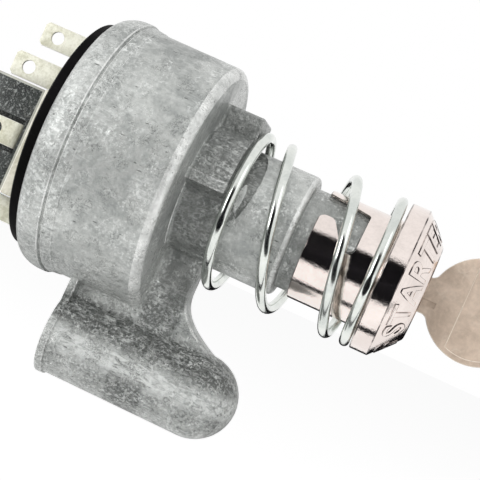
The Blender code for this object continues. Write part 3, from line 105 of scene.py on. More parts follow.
class Graph:
    """Adds nodes to a shader or geometry tree and wires them."""

    def __init__(self, tree: bpy.types.NodeTree) -> None:
        """Keep the tree that the nodes go into.

        Args:
            tree: the node tree to fill.
        """
        self.tree = tree

    def node(self, kind: str, inputs: Optional[dict] = None, **options: Any) -> bpy.types.Node:
        """Add one node.

        Args:
            kind: the node's type name.
            inputs: values or sockets by input name or index.
            **options: properties of the node.

        Returns:
            The new node.
        """
        node = self.tree.nodes.new(kind)
        for key, value in options.items():
            setattr(node, key, value)
        for key, value in (inputs or {}).items():
            if isinstance(value, bpy.types.NodeSocket):
                self.tree.links.new(value, node.inputs[key])
            else:
                node.inputs[key].default_value = value
        return node

    def maths(self, operation: str, first: Any, second: Any = 0.0,
              clamp: bool = False) -> bpy.types.NodeSocket:
        """Add a Math node.

        Args:
            operation: the operation's name.
            first: first value or socket.
            second: second value or socket.
            clamp: whether the result is held between 0 and 1.

        Returns:
            The result's socket.
        """
        node = self.node("ShaderNodeMath", {0: first, 1: second}, operation=operation, use_clamp=clamp)
        return node.outputs[0]

    def noise(self, vector: Any, scale: Any, detail: float = 4.0, roughness: float = 0.55,
              distortion: float = 0.0) -> bpy.types.NodeSocket:
        """Add a Noise Texture.

        Args:
            vector: the coordinates' socket.
            scale: features to the metre.
            detail: number of octaves.
            roughness: weight of the fine octaves.
            distortion: how far the pattern is pulled about.

        Returns:
            The noise value's socket.
        """
        node = self.node("ShaderNodeTexNoise", {
            "Vector": vector, "Scale": scale, "Detail": detail,
            "Roughness": roughness, "Distortion": distortion,
        })
        return node.outputs["Fac"]

    def span(self, value: Any, low: float, high: float, to_low: float = 0.0,
             to_high: float = 1.0) -> bpy.types.NodeSocket:
        """Stretch a value's range and clamp it.

        Args:
            value: the value's socket.
            low: value that becomes to_low.
            high: value that becomes to_high.
            to_low: result at low.
            to_high: result at high.

        Returns:
            The stretched value's socket.
        """
        node = self.node("ShaderNodeMapRange", {0: value, 1: low, 2: high, 3: to_low, 4: to_high})
        return node.outputs[0]

    def blend(self, factor: Any, first: Any, second: Any, mode: str = "MIX") -> bpy.types.NodeSocket:
        """Mix two colours.

        Args:
            factor: share of the second colour.
            first: first colour or socket.
            second: second colour or socket.
            mode: the blend's name.

        Returns:
            The mixed colour's socket.
        """
        def full(colour: Any) -> Any:
            """Give a plain colour its alpha."""
            if isinstance(colour, tuple) and len(colour) == 3:
                return (*colour, 1.0)
            return colour

        node = self.node("ShaderNodeMix", {0: factor, 6: full(first), 7: full(second)},
                         data_type="RGBA", blend_type=mode)
        return node.outputs[2]

    def product(self, *values: Any) -> bpy.types.NodeSocket:
        """Multiply two or more values.

        Args:
            *values: values or sockets.

        Returns:
            The product's socket.
        """
        total = values[0]
        for value in values[1:]:
            total = self.maths("MULTIPLY", total, value)
        return total

    def most(self, *values: Any) -> bpy.types.NodeSocket:
        """Take the largest of two or more values.

        Args:
            *values: values or sockets.

        Returns:
            The largest value's socket.
        """
        total = values[0]
        for value in values[1:]:
            total = self.maths("MAXIMUM", total, value)
        return total

    def between(self, value: Any, rise: Point, fall: Point) -> bpy.types.NodeSocket:
        """Mark a stretch with two soft ends.

        Args:
            value: the value's socket.
            rise: where the mask starts, and where it is whole.
            fall: where the mask ends, and where it is still whole.

        Returns:
            The mask's socket.
        """
        return self.product(self.span(value, *rise), self.span(value, *fall))

    def axes(self, vector: Any) -> Any:
        """Split coordinates into x, y and z.

        Args:
            vector: the coordinates' socket.

        Returns:
            The three sockets.
        """
        return self.node("ShaderNodeSeparateXYZ", {0: vector}).outputs

    def seen(self) -> bpy.types.NodeSocket:
        """Tell camera, glossy and transmission rays from the others.

        Returns:
            A socket that is 1 for those three and 0 for the rest.
        """
        path = self.node("ShaderNodeLightPath").outputs
        return self.most(path["Is Camera Ray"], path["Is Glossy Ray"], path["Is Transmission Ray"])


class Effects:
    """Shared shader node groups, each built once."""

    def __init__(self) -> None:
        """Build the groups."""
        self.mottle = self._mottle()
        self.grain = self._grain()
        self.scratches = self._scratches()
        self.wear_and_sheen = self._wear_and_sheen()

    @staticmethod
    def _group(name: str, inputs: Sequence[tuple[str, float]], output: str) -> tuple[Graph, Any, Any]:
        """Start a group with a vector input.

        Args:
            name: the group's name.
            inputs: names and defaults of its number inputs.
            output: name of its number output.

        Returns:
            The graph, the input node and the output node.
        """
        tree = bpy.data.node_groups.new(name, "ShaderNodeTree")
        tree.interface.new_socket("Vector", in_out="INPUT", socket_type="NodeSocketVector")
        for label, default in inputs:
            socket = tree.interface.new_socket(label, in_out="INPUT", socket_type="NodeSocketFloat")
            socket.default_value = default
        tree.interface.new_socket(output, in_out="OUTPUT", socket_type="NodeSocketFloat")
        graph = Graph(tree)
        return graph, graph.node("NodeGroupInput"), graph.node("NodeGroupOutput")

    def _mottle(self) -> bpy.types.NodeTree:
        """Make cloudy patches broken up by small flecks.

        Returns:
            The group, from 0 in the dark patches to 1 in the pale ones.
        """
        g, given, out = self._group("mottle", (("Scale", 90.0), ("Fleck", 0.35)), "Mask")
        vector, scale = given.outputs["Vector"], given.outputs["Scale"]
        broad = g.noise(vector, scale, 3.0, 0.6, 0.6)
        fine = g.noise(vector, g.product(scale, 9.0), 4.0, 0.7)
        fleck = g.product(g.maths("SUBTRACT", fine, 0.5), given.outputs["Fleck"])
        total = g.maths("ADD", g.span(broad, 0.34, 0.66), g.product(fleck, 3.0), True)
        g.tree.links.new(total, out.inputs["Mask"])
        return g.tree

    def _grain(self) -> bpy.types.NodeTree:
        """Make the small pits and bumps of a cast or moulded skin.

        Returns:
            The group, a height around a half.
        """
        g, given, out = self._group("grain", (("Scale", 900.0), ("Pits", 0.5)), "Height")
        vector, scale = given.outputs["Vector"], given.outputs["Scale"]
        bumps = g.noise(vector, scale, 5.0, 0.65)
        cells = g.node("ShaderNodeTexVoronoi", {"Vector": vector, "Scale": g.product(scale, 0.55)})
        pits = g.span(cells.outputs["Distance"], 0.0, 0.45)
        hollow = g.product(g.maths("SUBTRACT", 1.0, pits), given.outputs["Pits"])
        mixed = g.maths("SUBTRACT", bumps, hollow)
        g.tree.links.new(mixed, out.inputs["Height"])
        return g.tree

    def _scratches(self) -> bpy.types.NodeTree:
        """Make three sets of thin crossing scratches.

        Returns:
            The group, 1 on a scratch.
        """
        g, given, out = self._group("scratches", (("Scale", 60.0), ("Amount", 0.5)), "Mask")
        total: Any = 0.0
        for turn, stretch in ((0.5, 22.0), (2.1, 30.0), (1.2, 26.0)):
            place = g.node("ShaderNodeMapping", {
                "Vector": given.outputs["Vector"], "Rotation": (turn, turn * 1.7, turn * 0.6),
                "Scale": (stretch, 1.0, 1.0),
            })
            line = g.noise(place.outputs[0], given.outputs["Scale"], 2.0, 0.5, 0.2)
            thin = g.span(g.maths("ABSOLUTE", g.maths("SUBTRACT", line, 0.5)), 0.012, 0.0)
            total = g.maths("MAXIMUM", total, thin)
        where = g.span(g.noise(given.outputs["Vector"], 120.0, 2.0), 0.42, 0.62)
        mask = g.maths("MULTIPLY", g.product(total, where), given.outputs["Amount"], True)
        g.tree.links.new(mask, out.inputs["Mask"])
        return g.tree

    def _wear_and_sheen(self) -> bpy.types.NodeTree:
        """Break up the marked edges into lengths with and without the edge colour, which paints rubbed wear
        and highlights.

        Returns:
            The group, 1 where an edge takes the edge colour.
        """
        g, given, out = self._group("edge wear", (("Scale", 260.0), ("Spread", 0.5)), "Mask")
        marked = g.node("ShaderNodeAttribute", attribute_name=EDGE).outputs["Fac"]
        patch = g.span(g.noise(given.outputs["Vector"], given.outputs["Scale"], 3.0), 0.3, 0.6)
        strong = g.maths("ADD", g.product(patch, given.outputs["Spread"]),
                         g.maths("SUBTRACT", 1.0, given.outputs["Spread"]))
        g.tree.links.new(g.maths("MULTIPLY", marked, strong, True), out.inputs["Mask"])
        return g.tree


@dataclass(frozen=True)
class Finish:
    """One surface finish and the values of its shared effects."""

    name: str
    base: Colour
    dark: Colour
    edge: Colour
    metallic: float
    roughness: float
    rough_spread: float = 0.1
    mottle_scale: float = 90.0
    fleck: float = 0.35
    grain_scale: float = 900.0
    grain_height: float = 0.00002
    pits: float = 0.5
    scratch_scale: float = 60.0
    scratch: float = 0.3
    wear_and_sheen: float = 0.6
    specular: float = 0.5

    def material(self, effects: Effects) -> bpy.types.Material:
        """Build the material.

        Args:
            effects: the shared node groups.

        Returns:
            The finished material.
        """
        made = bpy.data.materials.new(self.name)
        made.use_nodes = True
        g = Graph(made.node_tree)
        shader = made.node_tree.nodes["Principled BSDF"]
        vector = g.node("ShaderNodeTexCoord").outputs["Object"]

        def effect(tree: bpy.types.NodeTree, **values: Any) -> bpy.types.NodeSocket:
            """Place a shared group and return its output."""
            return g.node("ShaderNodeGroup", {"Vector": vector, **values}, node_tree=tree).outputs[0]

        patches = effect(effects.mottle, Scale=self.mottle_scale, Fleck=self.fleck)
        lines = effect(effects.scratches, Scale=self.scratch_scale, Amount=self.scratch)
        edge_wear_and_sheen = effect(effects.wear_and_sheen, Spread=self.wear_and_sheen)
        height = effect(effects.grain, Scale=self.grain_scale, Pits=self.pits)
        colour = g.blend(patches, self.dark, self.base)
        colour = g.blend(g.product(lines, 0.5), colour, self.edge)
        # edge colour on the marked edges: rubbed wear and painted highlight, and on chrome a painted dark
        # reflection
        colour = self.tone(g, vector, g.blend(edge_wear_and_sheen, colour, self.edge))
        rough = g.span(patches, 0.0, 1.0, self.roughness + self.rough_spread,
                       self.roughness - self.rough_spread)
        rough = g.maths("SUBTRACT", rough, g.product(edge_wear_and_sheen, self.rough_spread), True)
        height = self.relief(g, vector, height)
        bump = g.node("ShaderNodeBump", {"Height": height, "Distance": self.grain_height, "Strength": 1.0})
        links = made.node_tree.links
        links.new(colour, shader.inputs["Base Color"])
        links.new(rough, shader.inputs["Roughness"])
        links.new(bump.outputs[0], shader.inputs["Normal"])
        shader.inputs["Metallic"].default_value = self.metallic
        shader.inputs["Specular IOR Level"].default_value = self.specular
        return made

    def tone(self, g: Graph, vector: Any, colour: Any) -> bpy.types.NodeSocket:
        """Change the colour by place, where a finish needs it.

        Args:
            g: the material's graph.
            vector: the coordinates' socket.
            colour: the colour so far.

        Returns:
            The changed colour's socket.
        """
        return colour

    def relief(self, g: Graph, vector: Any, height: Any) -> bpy.types.NodeSocket:
        """Change the relief by place, where a finish needs it.

        Args:
            g: the material's graph.
            vector: the coordinates' socket.
            height: the height so far.

        Returns:
            The changed height's socket.
        """
        return height


@dataclass(frozen=True)
class CastFinish(Finish):
    """A die-cast skin, smooth on the cup and coarse on the boss and collar, with painted shade and painted
    highlights.

    A place holds where its mask starts and where it is whole. An oval holds
    its middle and its half-axes, each as y and degrees round the barrel.
    """

    fleck_and_highlight_colour: Colour = (0.90, 0.92, 0.90)
    pit_and_shade_colour: Colour = (0.045, 0.05, 0.045)
    near_side: Point = (2.0 * MM, -2.0 * MM)
    boss_skin: Point = (-24.0 * MM, -36.0 * MM)
    collar_front: Point = (40.5 * MM, 41.5 * MM)
    collar_rear: Point = (51.2 * MM, 50.5 * MM)
    collar_foot: Point = (-18.0 * MM, -8.0 * MM)
    collar_share: float = 0.42
    # crease_foot and crease_top place the painted shade on the boss under the cup
    crease_foot: Point = (-44.5 * MM, -41.0 * MM)
    crease_top: Point = (-35.0 * MM, -36.8 * MM)
    # ridge_top and ridge_foot place the painted highlight along the boss's middle
    ridge_top: Point = (-42.5 * MM, -44.8 * MM)
    ridge_foot: Point = (-51.0 * MM, -48.0 * MM)
    # nose: where the painted shade on the nose starts
    nose: Point = (24.5 * MM, 22.5 * MM)
    barrel_rear: Point = (41.5 * MM, 41.1 * MM)
    cup_rear: Point = (72.5 * MM, 74.5 * MM)
    scar: tuple[Point, Point] = (SCAR, (SCAR_REACH, 42.0))
    # a small painted highlight on the barrel just ahead of the collar
    painted_highlight: tuple[Point, Point] = ((38.1 * MM, 11.0), (0.8 * MM, 13.0))
    fleck_scale: float = 1300.0
    smear_scale: float = 1150.0
    highlight_scale: float = 900.0
    broad_scale: float = 260.0
    craze_scale: float = 620.0
    stain_scale: float = 900.0
    pit_scale: float = 760.0
    ragged_scale: float = 2600.0
    lump_scale: float = 700.0

    def collar(self, g: Graph, vector: Any) -> bpy.types.NodeSocket:
        """Mark the collar's length.

        Args:
            g: the material's graph.
            vector: the coordinates' socket.

        Returns:
            The mask's socket.
        """
        return g.between(g.axes(vector)[1], self.collar_front, self.collar_rear)

    def coarse(self, g: Graph, vector: Any) -> bpy.types.NodeSocket:
        """Mark where the skin is coarse.

        Args:
            g: the material's graph.
            vector: the coordinates' socket.

        Returns:
            The mask's socket.
        """
        height = g.axes(vector)[2]
        above = g.span(height, *self.collar_foot, 0.0, self.collar_share)
        return g.most(g.span(height, *self.boss_skin), g.product(self.collar(g, vector), above))

    def oval(self, g: Graph, vector: Any, middle: Point, reach: Point) -> bpy.types.NodeSocket:
        """Mark an oval with a ragged rim on the barrel.

        Args:
            g: the material's graph.
            vector: the coordinates' socket.
            middle: its y and its angle from -X towards +Z, in metres and degrees.
            reach: its half-axes, in metres and degrees.

        Returns:
            The mask's socket.
        """
        place = g.axes(vector)
        angle = g.maths("ARCTAN2", place[2], g.product(place[0], -1.0))
        along = g.maths("DIVIDE", g.maths("SUBTRACT", place[1], middle[0]), reach[0])
        across = g.maths("DIVIDE", g.maths("SUBTRACT", angle, middle[1] * DEG), reach[1] * DEG)
        far = g.maths("ADD", g.maths("POWER", along, 2.0), g.maths("POWER", across, 2.0))
        ragged = g.maths("SUBTRACT", g.noise(vector, self.lump_scale, 3.0), 0.5)
        far = g.maths("ADD", far, g.product(ragged, 0.5))
        return g.product(g.span(far, 1.06, 0.98), g.span(place[1], *self.barrel_rear))

    def painted_shade(self, g: Graph, vector: Any) -> bpy.types.NodeSocket:
        """Mark the painted shade: the boss's crease under the cup, the nose, the collar and the scar's
        hollow.

        Args:
            g: the material's graph.
            vector: the coordinates' socket.

        Returns:
            The mask's socket.
        """
        place = g.axes(vector)
        crease = g.between(place[2], self.crease_foot, self.crease_top)
        crease = g.product(crease, g.span(place[0], *self.near_side))
        nose = g.span(place[1], *self.nose)
        scar = self.oval(g, vector, *self.scar)
        # painted shade: the crease, nose, collar and scar's hollow are darkened, each by its own share
        return g.most(g.product(crease, 0.95), g.product(nose, 0.55),
                      g.product(self.collar(g, vector), 0.74), g.product(scar, 0.85))

    def pale(self, g: Graph, vector: Any, streaks: Any, broad: Any, glint: Any) -> bpy.types.NodeSocket:
        """Mark pale flecks and smears, and the painted highlight along the boss's ridge.

        Args:
            g: the material's graph.
            vector: the coordinates' socket.
            streaks: coordinates drawn out along the barrel.
            broad: broad patches that hold the flecks.
            glint: the mask of the painted highlight along the boss's ridge.

        Returns:
            The mask's socket.
        """
        coarse = self.coarse(g, vector)
        rear = g.span(g.axes(vector)[1], *self.cup_rear, 0.0, 0.8)
        patch = g.most(g.span(g.noise(vector, 95.0, 3.0, 0.6), 0.46, 0.60), g.product(coarse, 0.9), rear)
        flecks = g.product(g.span(g.noise(vector, self.fleck_scale, 4.0, 0.65, 0.4), 0.50, 0.60), patch)
        where = g.most(coarse, rear, g.span(g.noise(vector, 60.0, 2.0), 0.54, 0.66))
        smears = g.product(g.span(g.noise(streaks, self.smear_scale, 5.0, 0.75, 0.8), 0.50, 0.60), where)
        # painted highlight: pale streaks along the boss's ridge
        ridge_highlight = g.product(glint, g.span(g.noise(streaks, self.highlight_scale, 5.0, 0.75, 0.8), 0.38, 0.54))
        marks = g.most(g.product(flecks, 0.85), g.product(smears, 0.75))
        return g.most(g.product(marks, broad), ridge_highlight)

    def stains(self, g: Graph, vector: Any, streaks: Any, broad: Any, glint: Any) -> bpy.types.NodeSocket:
        """Mark thin crazing, ragged pits and dark stains.

        Args:
            g: the material's graph.
            vector: the coordinates' socket.
            streaks: coordinates drawn out along the barrel.
            broad: broad patches that hold the flecks.
            glint: the mask of the painted highlight along the boss's ridge.

        Returns:
            The mask's socket.
        """
        web = g.noise(vector, self.craze_scale, 3.0, 0.6, 2.2)
        web = g.span(g.maths("ABSOLUTE", g.maths("SUBTRACT", web, 0.5)), 0.040, 0.008)
        craze = g.product(web, g.span(g.noise(vector, 170.0, 2.0), 0.50, 0.58))
        cells = g.node("ShaderNodeTexVoronoi", {"Vector": streaks, "Scale": self.pit_scale})
        ragged = g.product(g.noise(vector, self.ragged_scale, 2.0), 0.22)
        ragged = g.maths("ADD", cells.outputs["Distance"], ragged)
        pits = g.product(g.span(ragged, 0.26, 0.20), g.span(g.noise(vector, 210.0, 2.0), 0.50, 0.56))
        dark = g.span(g.noise(vector, self.stain_scale, 4.0, 0.7, 0.3), 0.46, 0.37)
        dark = g.product(dark, g.most(self.coarse(g, vector), 0.25))
        dark = g.product(dark, g.maths("SUBTRACT", g.maths("SUBTRACT", 1.25, broad), glint))
        return g.most(g.product(craze, 0.75), pits, dark)

    def tone(self, g: Graph, vector: Any, colour: Any) -> bpy.types.NodeSocket:
        """Add painted shade, painted highlights, pale marks and dark stains to the colour.

        Args:
            g: the material's graph.
            vector: the coordinates' socket.
            colour: the colour so far.

        Returns:
            The changed colour's socket.
        """
        place = g.axes(vector)
        streaks = g.node("ShaderNodeMapping", {
            "Vector": vector, "Scale": (1.0, 0.28, 1.0), "Rotation": (0.6, 0.0, 0.0)}).outputs[0]
        broad = g.span(g.noise(vector, self.broad_scale, 4.0, 0.65, 0.6), 0.40, 0.60, 0.35, 1.0)
        # painted highlight along the boss's middle, on the near side
        glint = g.product(g.between(place[2], self.ridge_top, self.ridge_foot),
                          g.span(place[0], *self.near_side, 0.0, 0.85))
        # painted shade, blended towards the dark pit colour
        colour = g.blend(g.product(self.painted_shade(g, vector), 0.8), colour, self.pit_and_shade_colour)
        # painted highlight: a small pale oval on the barrel
        painted_highlight = self.oval(g, vector, *self.painted_highlight)
        colour = g.blend(g.product(painted_highlight, 0.7), colour, self.fleck_and_highlight_colour)
        colour = g.blend(self.pale(g, vector, streaks, broad, glint), colour, self.fleck_and_highlight_colour)
        stains = self.stains(g, vector, streaks, broad, glint)
        return g.blend(g.product(stains, 0.8), colour, self.pit_and_shade_colour)

    def relief(self, g: Graph, vector: Any, height: Any) -> bpy.types.NodeSocket:
        """Raise the relief where the skin is coarse.

        Args:
            g: the material's graph.
            vector: the coordinates' socket.
            height: the height so far.

        Returns:
            The changed height's socket.
        """
        strength = g.span(self.coarse(g, vector), 0.0, 1.0, 0.7, 4.5)
        lumps = g.product(g.noise(vector, self.lump_scale, 4.0, 0.65), 1.4)
        return g.product(g.maths("ADD", height, lumps), strength)


@dataclass(frozen=True)
class SpeckledFinish(Finish):
    """A moulding whose filler shows as many small pale grains."""

    grains: Colour = (0.42, 0.44, 0.42)
    small_scale: float = 2600.0
    large_scale: float = 1100.0

    def tone(self, g: Graph, vector: Any, colour: Any) -> bpy.types.NodeSocket:
        """Scatter pale grains over the colour.

        Args:
            g: the material's graph.
            vector: the coordinates' socket.
            colour: the colour so far.

        Returns:
            The speckled colour's socket.
        """
        small = g.span(g.noise(vector, self.small_scale, 3.0, 0.7), 0.55, 0.68)
        large = g.span(g.noise(vector, self.large_scale, 2.0, 0.6), 0.56, 0.66)
        mask = g.most(g.product(small, 0.55), g.product(large, 0.5))
        return g.blend(mask, colour, self.grains)


class Palette:
    """The materials of the switch."""

    # its pale edge colour is partly rubbed wear and partly painted highlight on the rounded edges
    ZINC = CastFinish(
        "cast zinc", (0.56, 0.575, 0.555), (0.34, 0.355, 0.345), (0.84, 0.85, 0.83), 0.40, 0.36,
        rough_spread=0.10, mottle_scale=62.0, fleck=0.75, grain_scale=1000.0, grain_height=0.0002,
        pits=0.5, scratch_scale=55.0, scratch=0.6, wear_and_sheen=0.6)
    BLACK = Finish(
        "black board", (0.005, 0.0045, 0.005), (0.003, 0.003, 0.003), (0.03, 0.03, 0.03), 0.0, 0.6,
        rough_spread=0.08, mottle_scale=110.0, fleck=0.3, grain_scale=1500.0, grain_height=0.00001,
        pits=0.3, scratch_scale=70.0, scratch=0.25, wear_and_sheen=0.4, specular=0.03)
    # its pale edge colour paints highlight lines on the block's rounded edges
    BLOCK = SpeckledFinish(
        "speckled moulding", (0.042, 0.047, 0.044), (0.016, 0.018, 0.018), (0.50, 0.50, 0.44), 0.0, 0.42,
        rough_spread=0.08, mottle_scale=140.0, fleck=0.3, grain_scale=1600.0, grain_height=0.00002,
        pits=0.4, scratch_scale=80.0, scratch=0.3, wear_and_sheen=0.3, specular=0.3)
    # the board's pale colour is a painted highlight: the light line along the block's foot
    BOARD_EDGE = Finish(
        "board edge", (0.74, 0.72, 0.62), (0.50, 0.48, 0.38), (0.84, 0.83, 0.76), 0.0, 0.6,
        mottle_scale=200.0, fleck=0.4, grain_scale=2200.0, grain_height=0.00002)
    STRIP = Finish(
        "tinned strip", (0.84, 0.835, 0.72), (0.56, 0.55, 0.42), (0.92, 0.91, 0.82), 0.25, 0.40,
        rough_spread=0.08, mottle_scale=150.0, fleck=0.7, grain_scale=1800.0, grain_height=0.00001,
        pits=0.4, scratch_scale=90.0, scratch=0.4, wear_and_sheen=0.3)
    WIRE = Finish(
        "plated wire", (0.80, 0.82, 0.78), (0.64, 0.67, 0.64), (0.90, 0.92, 0.90), 1.0, 0.16,
        rough_spread=0.05, mottle_scale=160.0, fleck=0.3, grain_scale=1500.0, grain_height=0.000004,
        pits=0.3, scratch_scale=80.0, scratch=0.25, wear_and_sheen=0.3)
    # its near-black edge colour paints dark reflections on the rounded rims and the letters' flanks
    CHROME = Finish(
        "chrome plate", (0.90, 0.81, 0.765), (0.78, 0.70, 0.66), (0.045, 0.035, 0.035), 1.0, 0.08,
        rough_spread=0.02, mottle_scale=120.0, fleck=0.5, grain_scale=1000.0, grain_height=0.000034,
        pits=0.3, scratch_scale=90.0, scratch=0.12, wear_and_sheen=0.95)
    STEEL = Finish(
        "spring steel", (0.50, 0.50, 0.51), (0.38, 0.38, 0.40), (0.7, 0.7, 0.7), 1.0, 0.3,
        rough_spread=0.06)
    PLUG = Finish(
        "plated plug", (0.50, 0.50, 0.50), (0.36, 0.36, 0.37), (0.74, 0.74, 0.74), 1.0, 0.26,
        rough_spread=0.06, mottle_scale=130.0, fleck=0.4, grain_scale=1400.0, grain_height=0.00001)
    BRASS = Finish(
        "brass strip", (0.72, 0.56, 0.28), (0.58, 0.44, 0.20), (0.86, 0.72, 0.42), 1.0, 0.28,
        rough_spread=0.06)
    COPPER = Finish(
        "contact copper", (0.72, 0.46, 0.32), (0.56, 0.34, 0.22), (0.86, 0.62, 0.48), 1.0, 0.3,
        rough_spread=0.06)
    BROWN = Finish(
        "brown moulding", (0.15, 0.085, 0.05), (0.09, 0.05, 0.03), (0.26, 0.16, 0.10), 0.0, 0.4,
        rough_spread=0.06)
    KEY = Finish(
        "nickel silver", (0.74, 0.60, 0.485), (0.50, 0.395, 0.31), (0.82, 0.74, 0.64), 0.25, 0.36,
        rough_spread=0.08, mottle_scale=110.0, fleck=0.4, grain_scale=1500.0, grain_height=0.00001,
        pits=0.4, scratch_scale=80.0, scratch=0.5, wear_and_sheen=0.4)

    def __init__(self, effects: Effects) -> None:
        """Build every material once.

        Args:
            effects: the shared node groups.
        """
        self._made = {
            finish.name: finish.material(effects)
            for finish in vars(Palette).values() if isinstance(finish, Finish)
        }

    def __getitem__(self, finish: Finish) -> bpy.types.Material:
        """Return a finish's material.

        Args:
            finish: one of the finishes above.

        Returns:
            Its material.
        """
        return self._made[finish.name]


def arc(centre: Point, radius: float, start: float, end: float, steps: int) -> list[Point]:
    """Return points on an arc.

    Args:
        centre: the arc's centre.
        radius: its radius.
        start: first angle in degrees.
        end: last angle in degrees.
        steps: number of chords.

    Returns:
        The points, both ends included.
    """
    angles = [(start + (end - start) * i / steps) * DEG for i in range(steps + 1)]
    return [(centre[0] + radius * math.cos(a), centre[1] + radius * math.sin(a)) for a in angles]


def trace(corners: Sequence[Corner], closed: bool = True) -> tuple[list[Point], list[bool]]:
    """Round an outline's corners.

    Args:
        corners: points with a radius: above 0 a marked edge that takes the edge colour, below 0 a hollow
            fillet.
        closed: whether the last corner joins the first.

    Returns:
        The points, and for each whether the length after it is a marked edge.
    """
    points: list[Point] = []
    edge_wear_and_sheen: list[bool] = []
    count = len(corners)
    for i, (bx, by, size) in enumerate(corners):
        radius = abs(size)
        if radius == 0.0 or (not closed and i in (0, count - 1)):
            points.append((bx, by))
            edge_wear_and_sheen.append(False)
            continue
        ax, ay, _ = corners[i - 1]
        cx, cy, _ = corners[(i + 1) % count]
        into = math.atan2(ay - by, ax - bx)
        turn = (math.atan2(cy - by, cx - bx) - into + math.pi) % (2.0 * math.pi) - math.pi
        half = abs(turn) / 2.0
        middle = into + turn / 2.0
        reach = radius / math.tan(half)
        out = radius / math.sin(half)
        centre = (bx + out * math.cos(middle), by + out * math.sin(middle))
        start = math.atan2(by + reach * math.sin(into) - centre[1], bx + reach * math.cos(into) - centre[0])
        sweep = (math.pi - 2.0 * half) * (-1.0 if turn > 0.0 else 1.0)
        steps = max(2, round(abs(sweep) / DEG / CHORD))
        points += arc(centre, radius, start / DEG, (start + sweep) / DEG, steps)
        edge_wear_and_sheen += [size > 0.0] * steps + [False]
    return points, edge_wear_and_sheen


def outward(angle: float, radius: float) -> Matrix:
    """Face a flat outline out from the barrel's axis.

    Args:
        angle: degrees from -X towards +Z.
        radius: distance of its plane from the axis.

    Returns:
        The placing: the outline's first axis runs along the barrel, its second round it.
    """
    a = angle * DEG
    out = Vector((-math.cos(a), 0.0, math.sin(a)))
    columns = (Vector((0.0, 1.0, 0.0)), Vector((math.sin(a), 0.0, math.cos(a))), out, out * radius)
    place = Matrix.Identity(4)
    for row in range(3):
        for column in range(4):
            place[row][column] = columns[column][row]
    return place


def plain_mesh(obj: bpy.types.Object) -> bpy.types.Mesh:
    """Return an object's mesh as its curve or modifiers shape it.

    Args:
        obj: the object, in the scene.

    Returns:
        A new mesh.
    """
    bpy.context.view_layer.update()
    graph = bpy.context.evaluated_depsgraph_get()
    return bpy.data.meshes.new_from_object(obj.evaluated_get(graph))


def filled(name: str, curve: bpy.types.Curve) -> bmesh.types.BMesh:
    """Turn a filled curve or text into a welded bmesh.

    Args:
        name: name of the passing object.
        curve: the curve or text.

    Returns:
        The bmesh, in the curve's own plane.
    """
    carrier = bpy.data.objects.new(name, curve)
    bpy.context.scene.collection.objects.link(carrier)
    work = bmesh.new()
    work.from_mesh(plain_mesh(carrier))
    bpy.data.objects.remove(carrier, do_unlink=True)
    bmesh.ops.remove_doubles(work, verts=work.verts, dist=WELD / 4.0)
    return work


def mesh_object(name: str, work: bmesh.types.BMesh) -> bpy.types.Object:
    """Turn a bmesh into a linked object with the two working slots.

    Args:
        name: the object's name.
        work: the bmesh, which is freed.

    Returns:
        The new object.
    """
    mesh = bpy.data.meshes.new(name)
    work.to_mesh(mesh)
    work.free()
    obj = bpy.data.objects.new(name, mesh)
    bpy.context.scene.collection.objects.link(obj)
    # slot 1 holds the marked edges that take the edge colour: wear and painted highlight
    for slot in ("skin", "rub"):
        mesh.materials.append(bpy.data.materials.get(slot) or bpy.data.materials.new(slot))
    return obj


def turned(name: str, corners: Sequence[Corner], steps: int = 128, on_axis: bool = False,
           start: float = 0.0, sweep: float = 360.0) -> bpy.types.Object:
    """Turn a profile about the barrel's axis.

    Args:
        name: the object's name.
        corners: profile corners as radius, y and rounding.
        steps: facets round the sweep.
        on_axis: whether the profile's two ends lie on the axis.
        start: first angle from +X towards +Z, in degrees.
        sweep: degrees that the profile is turned through.

    Returns:
        The turned solid.
    """
    points, edge_wear_and_sheen = trace(corners, not on_axis)
    whole = sweep >= 360.0
    work = bmesh.new()
    rings = []
    for k in range(steps if whole else steps + 1):
        angle = (start + sweep * k / steps) * DEG
        c, s = math.cos(angle), math.sin(angle)
        rings.append([work.verts.new((r * c, y, r * s)) for r, y in points])
    count = len(points)
    for k in range(steps):
        here, there = rings[k], rings[(k + 1) % len(rings)]
        for i in range(count - 1 if on_axis else count):
            j = (i + 1) % count
            face = work.faces.new((here[i], here[j], there[j], there[i]))
            face.material_index = int(edge_wear_and_sheen[i])
    if not whole:
        work.faces.new(rings[0])
        work.faces.new(rings[-1])
    bmesh.ops.remove_doubles(work, verts=work.verts, dist=WELD)
    bmesh.ops.dissolve_degenerate(work, edges=work.edges, dist=WELD)
    bmesh.ops.recalc_face_normals(work, faces=work.faces)
    return mesh_object(name, work)


def plate(name: str, outlines: Sequence[Sequence[Point]], thickness: float, place: Matrix,
          edge: float = 0.0) -> bpy.types.Object:
    """Extrude flat outlines with rounded rims.

    Args:
        name: the object's name.
        outlines: the outside first, then the holes.
        thickness: full thickness across the plane.
        place: where the plane's middle goes.
        edge: radius of the rims.

    Returns:
        The solid plate.
    """
    curve = bpy.data.curves.new(name, "CURVE")
    curve.dimensions = "2D"
    curve.fill_mode = "BOTH"
    curve.extrude = thickness / 2.0 - edge
    curve.bevel_depth = edge
    curve.bevel_resolution = 1
    curve.offset = -edge
    for outline in outlines:
        spline = curve.splines.new("POLY")
        spline.points.add(len(outline) - 1)
        for point, (a, b) in zip(spline.points, outline):
            point.co = (a, b, 0.0, 1.0)
        spline.use_cyclic_u = True
    work = filled(name, curve)
    bmesh.ops.recalc_face_normals(work, faces=work.faces)
    # only the faces of the rounded rims lean, so they take the edge colour: wear and painted highlight
    for face in work.faces:
        face.material_index = int(0.1 < abs(face.normal.z) < 0.98)
    work.transform(place)
    bmesh.ops.recalc_face_normals(work, faces=work.faces)
    return mesh_object(name, work)


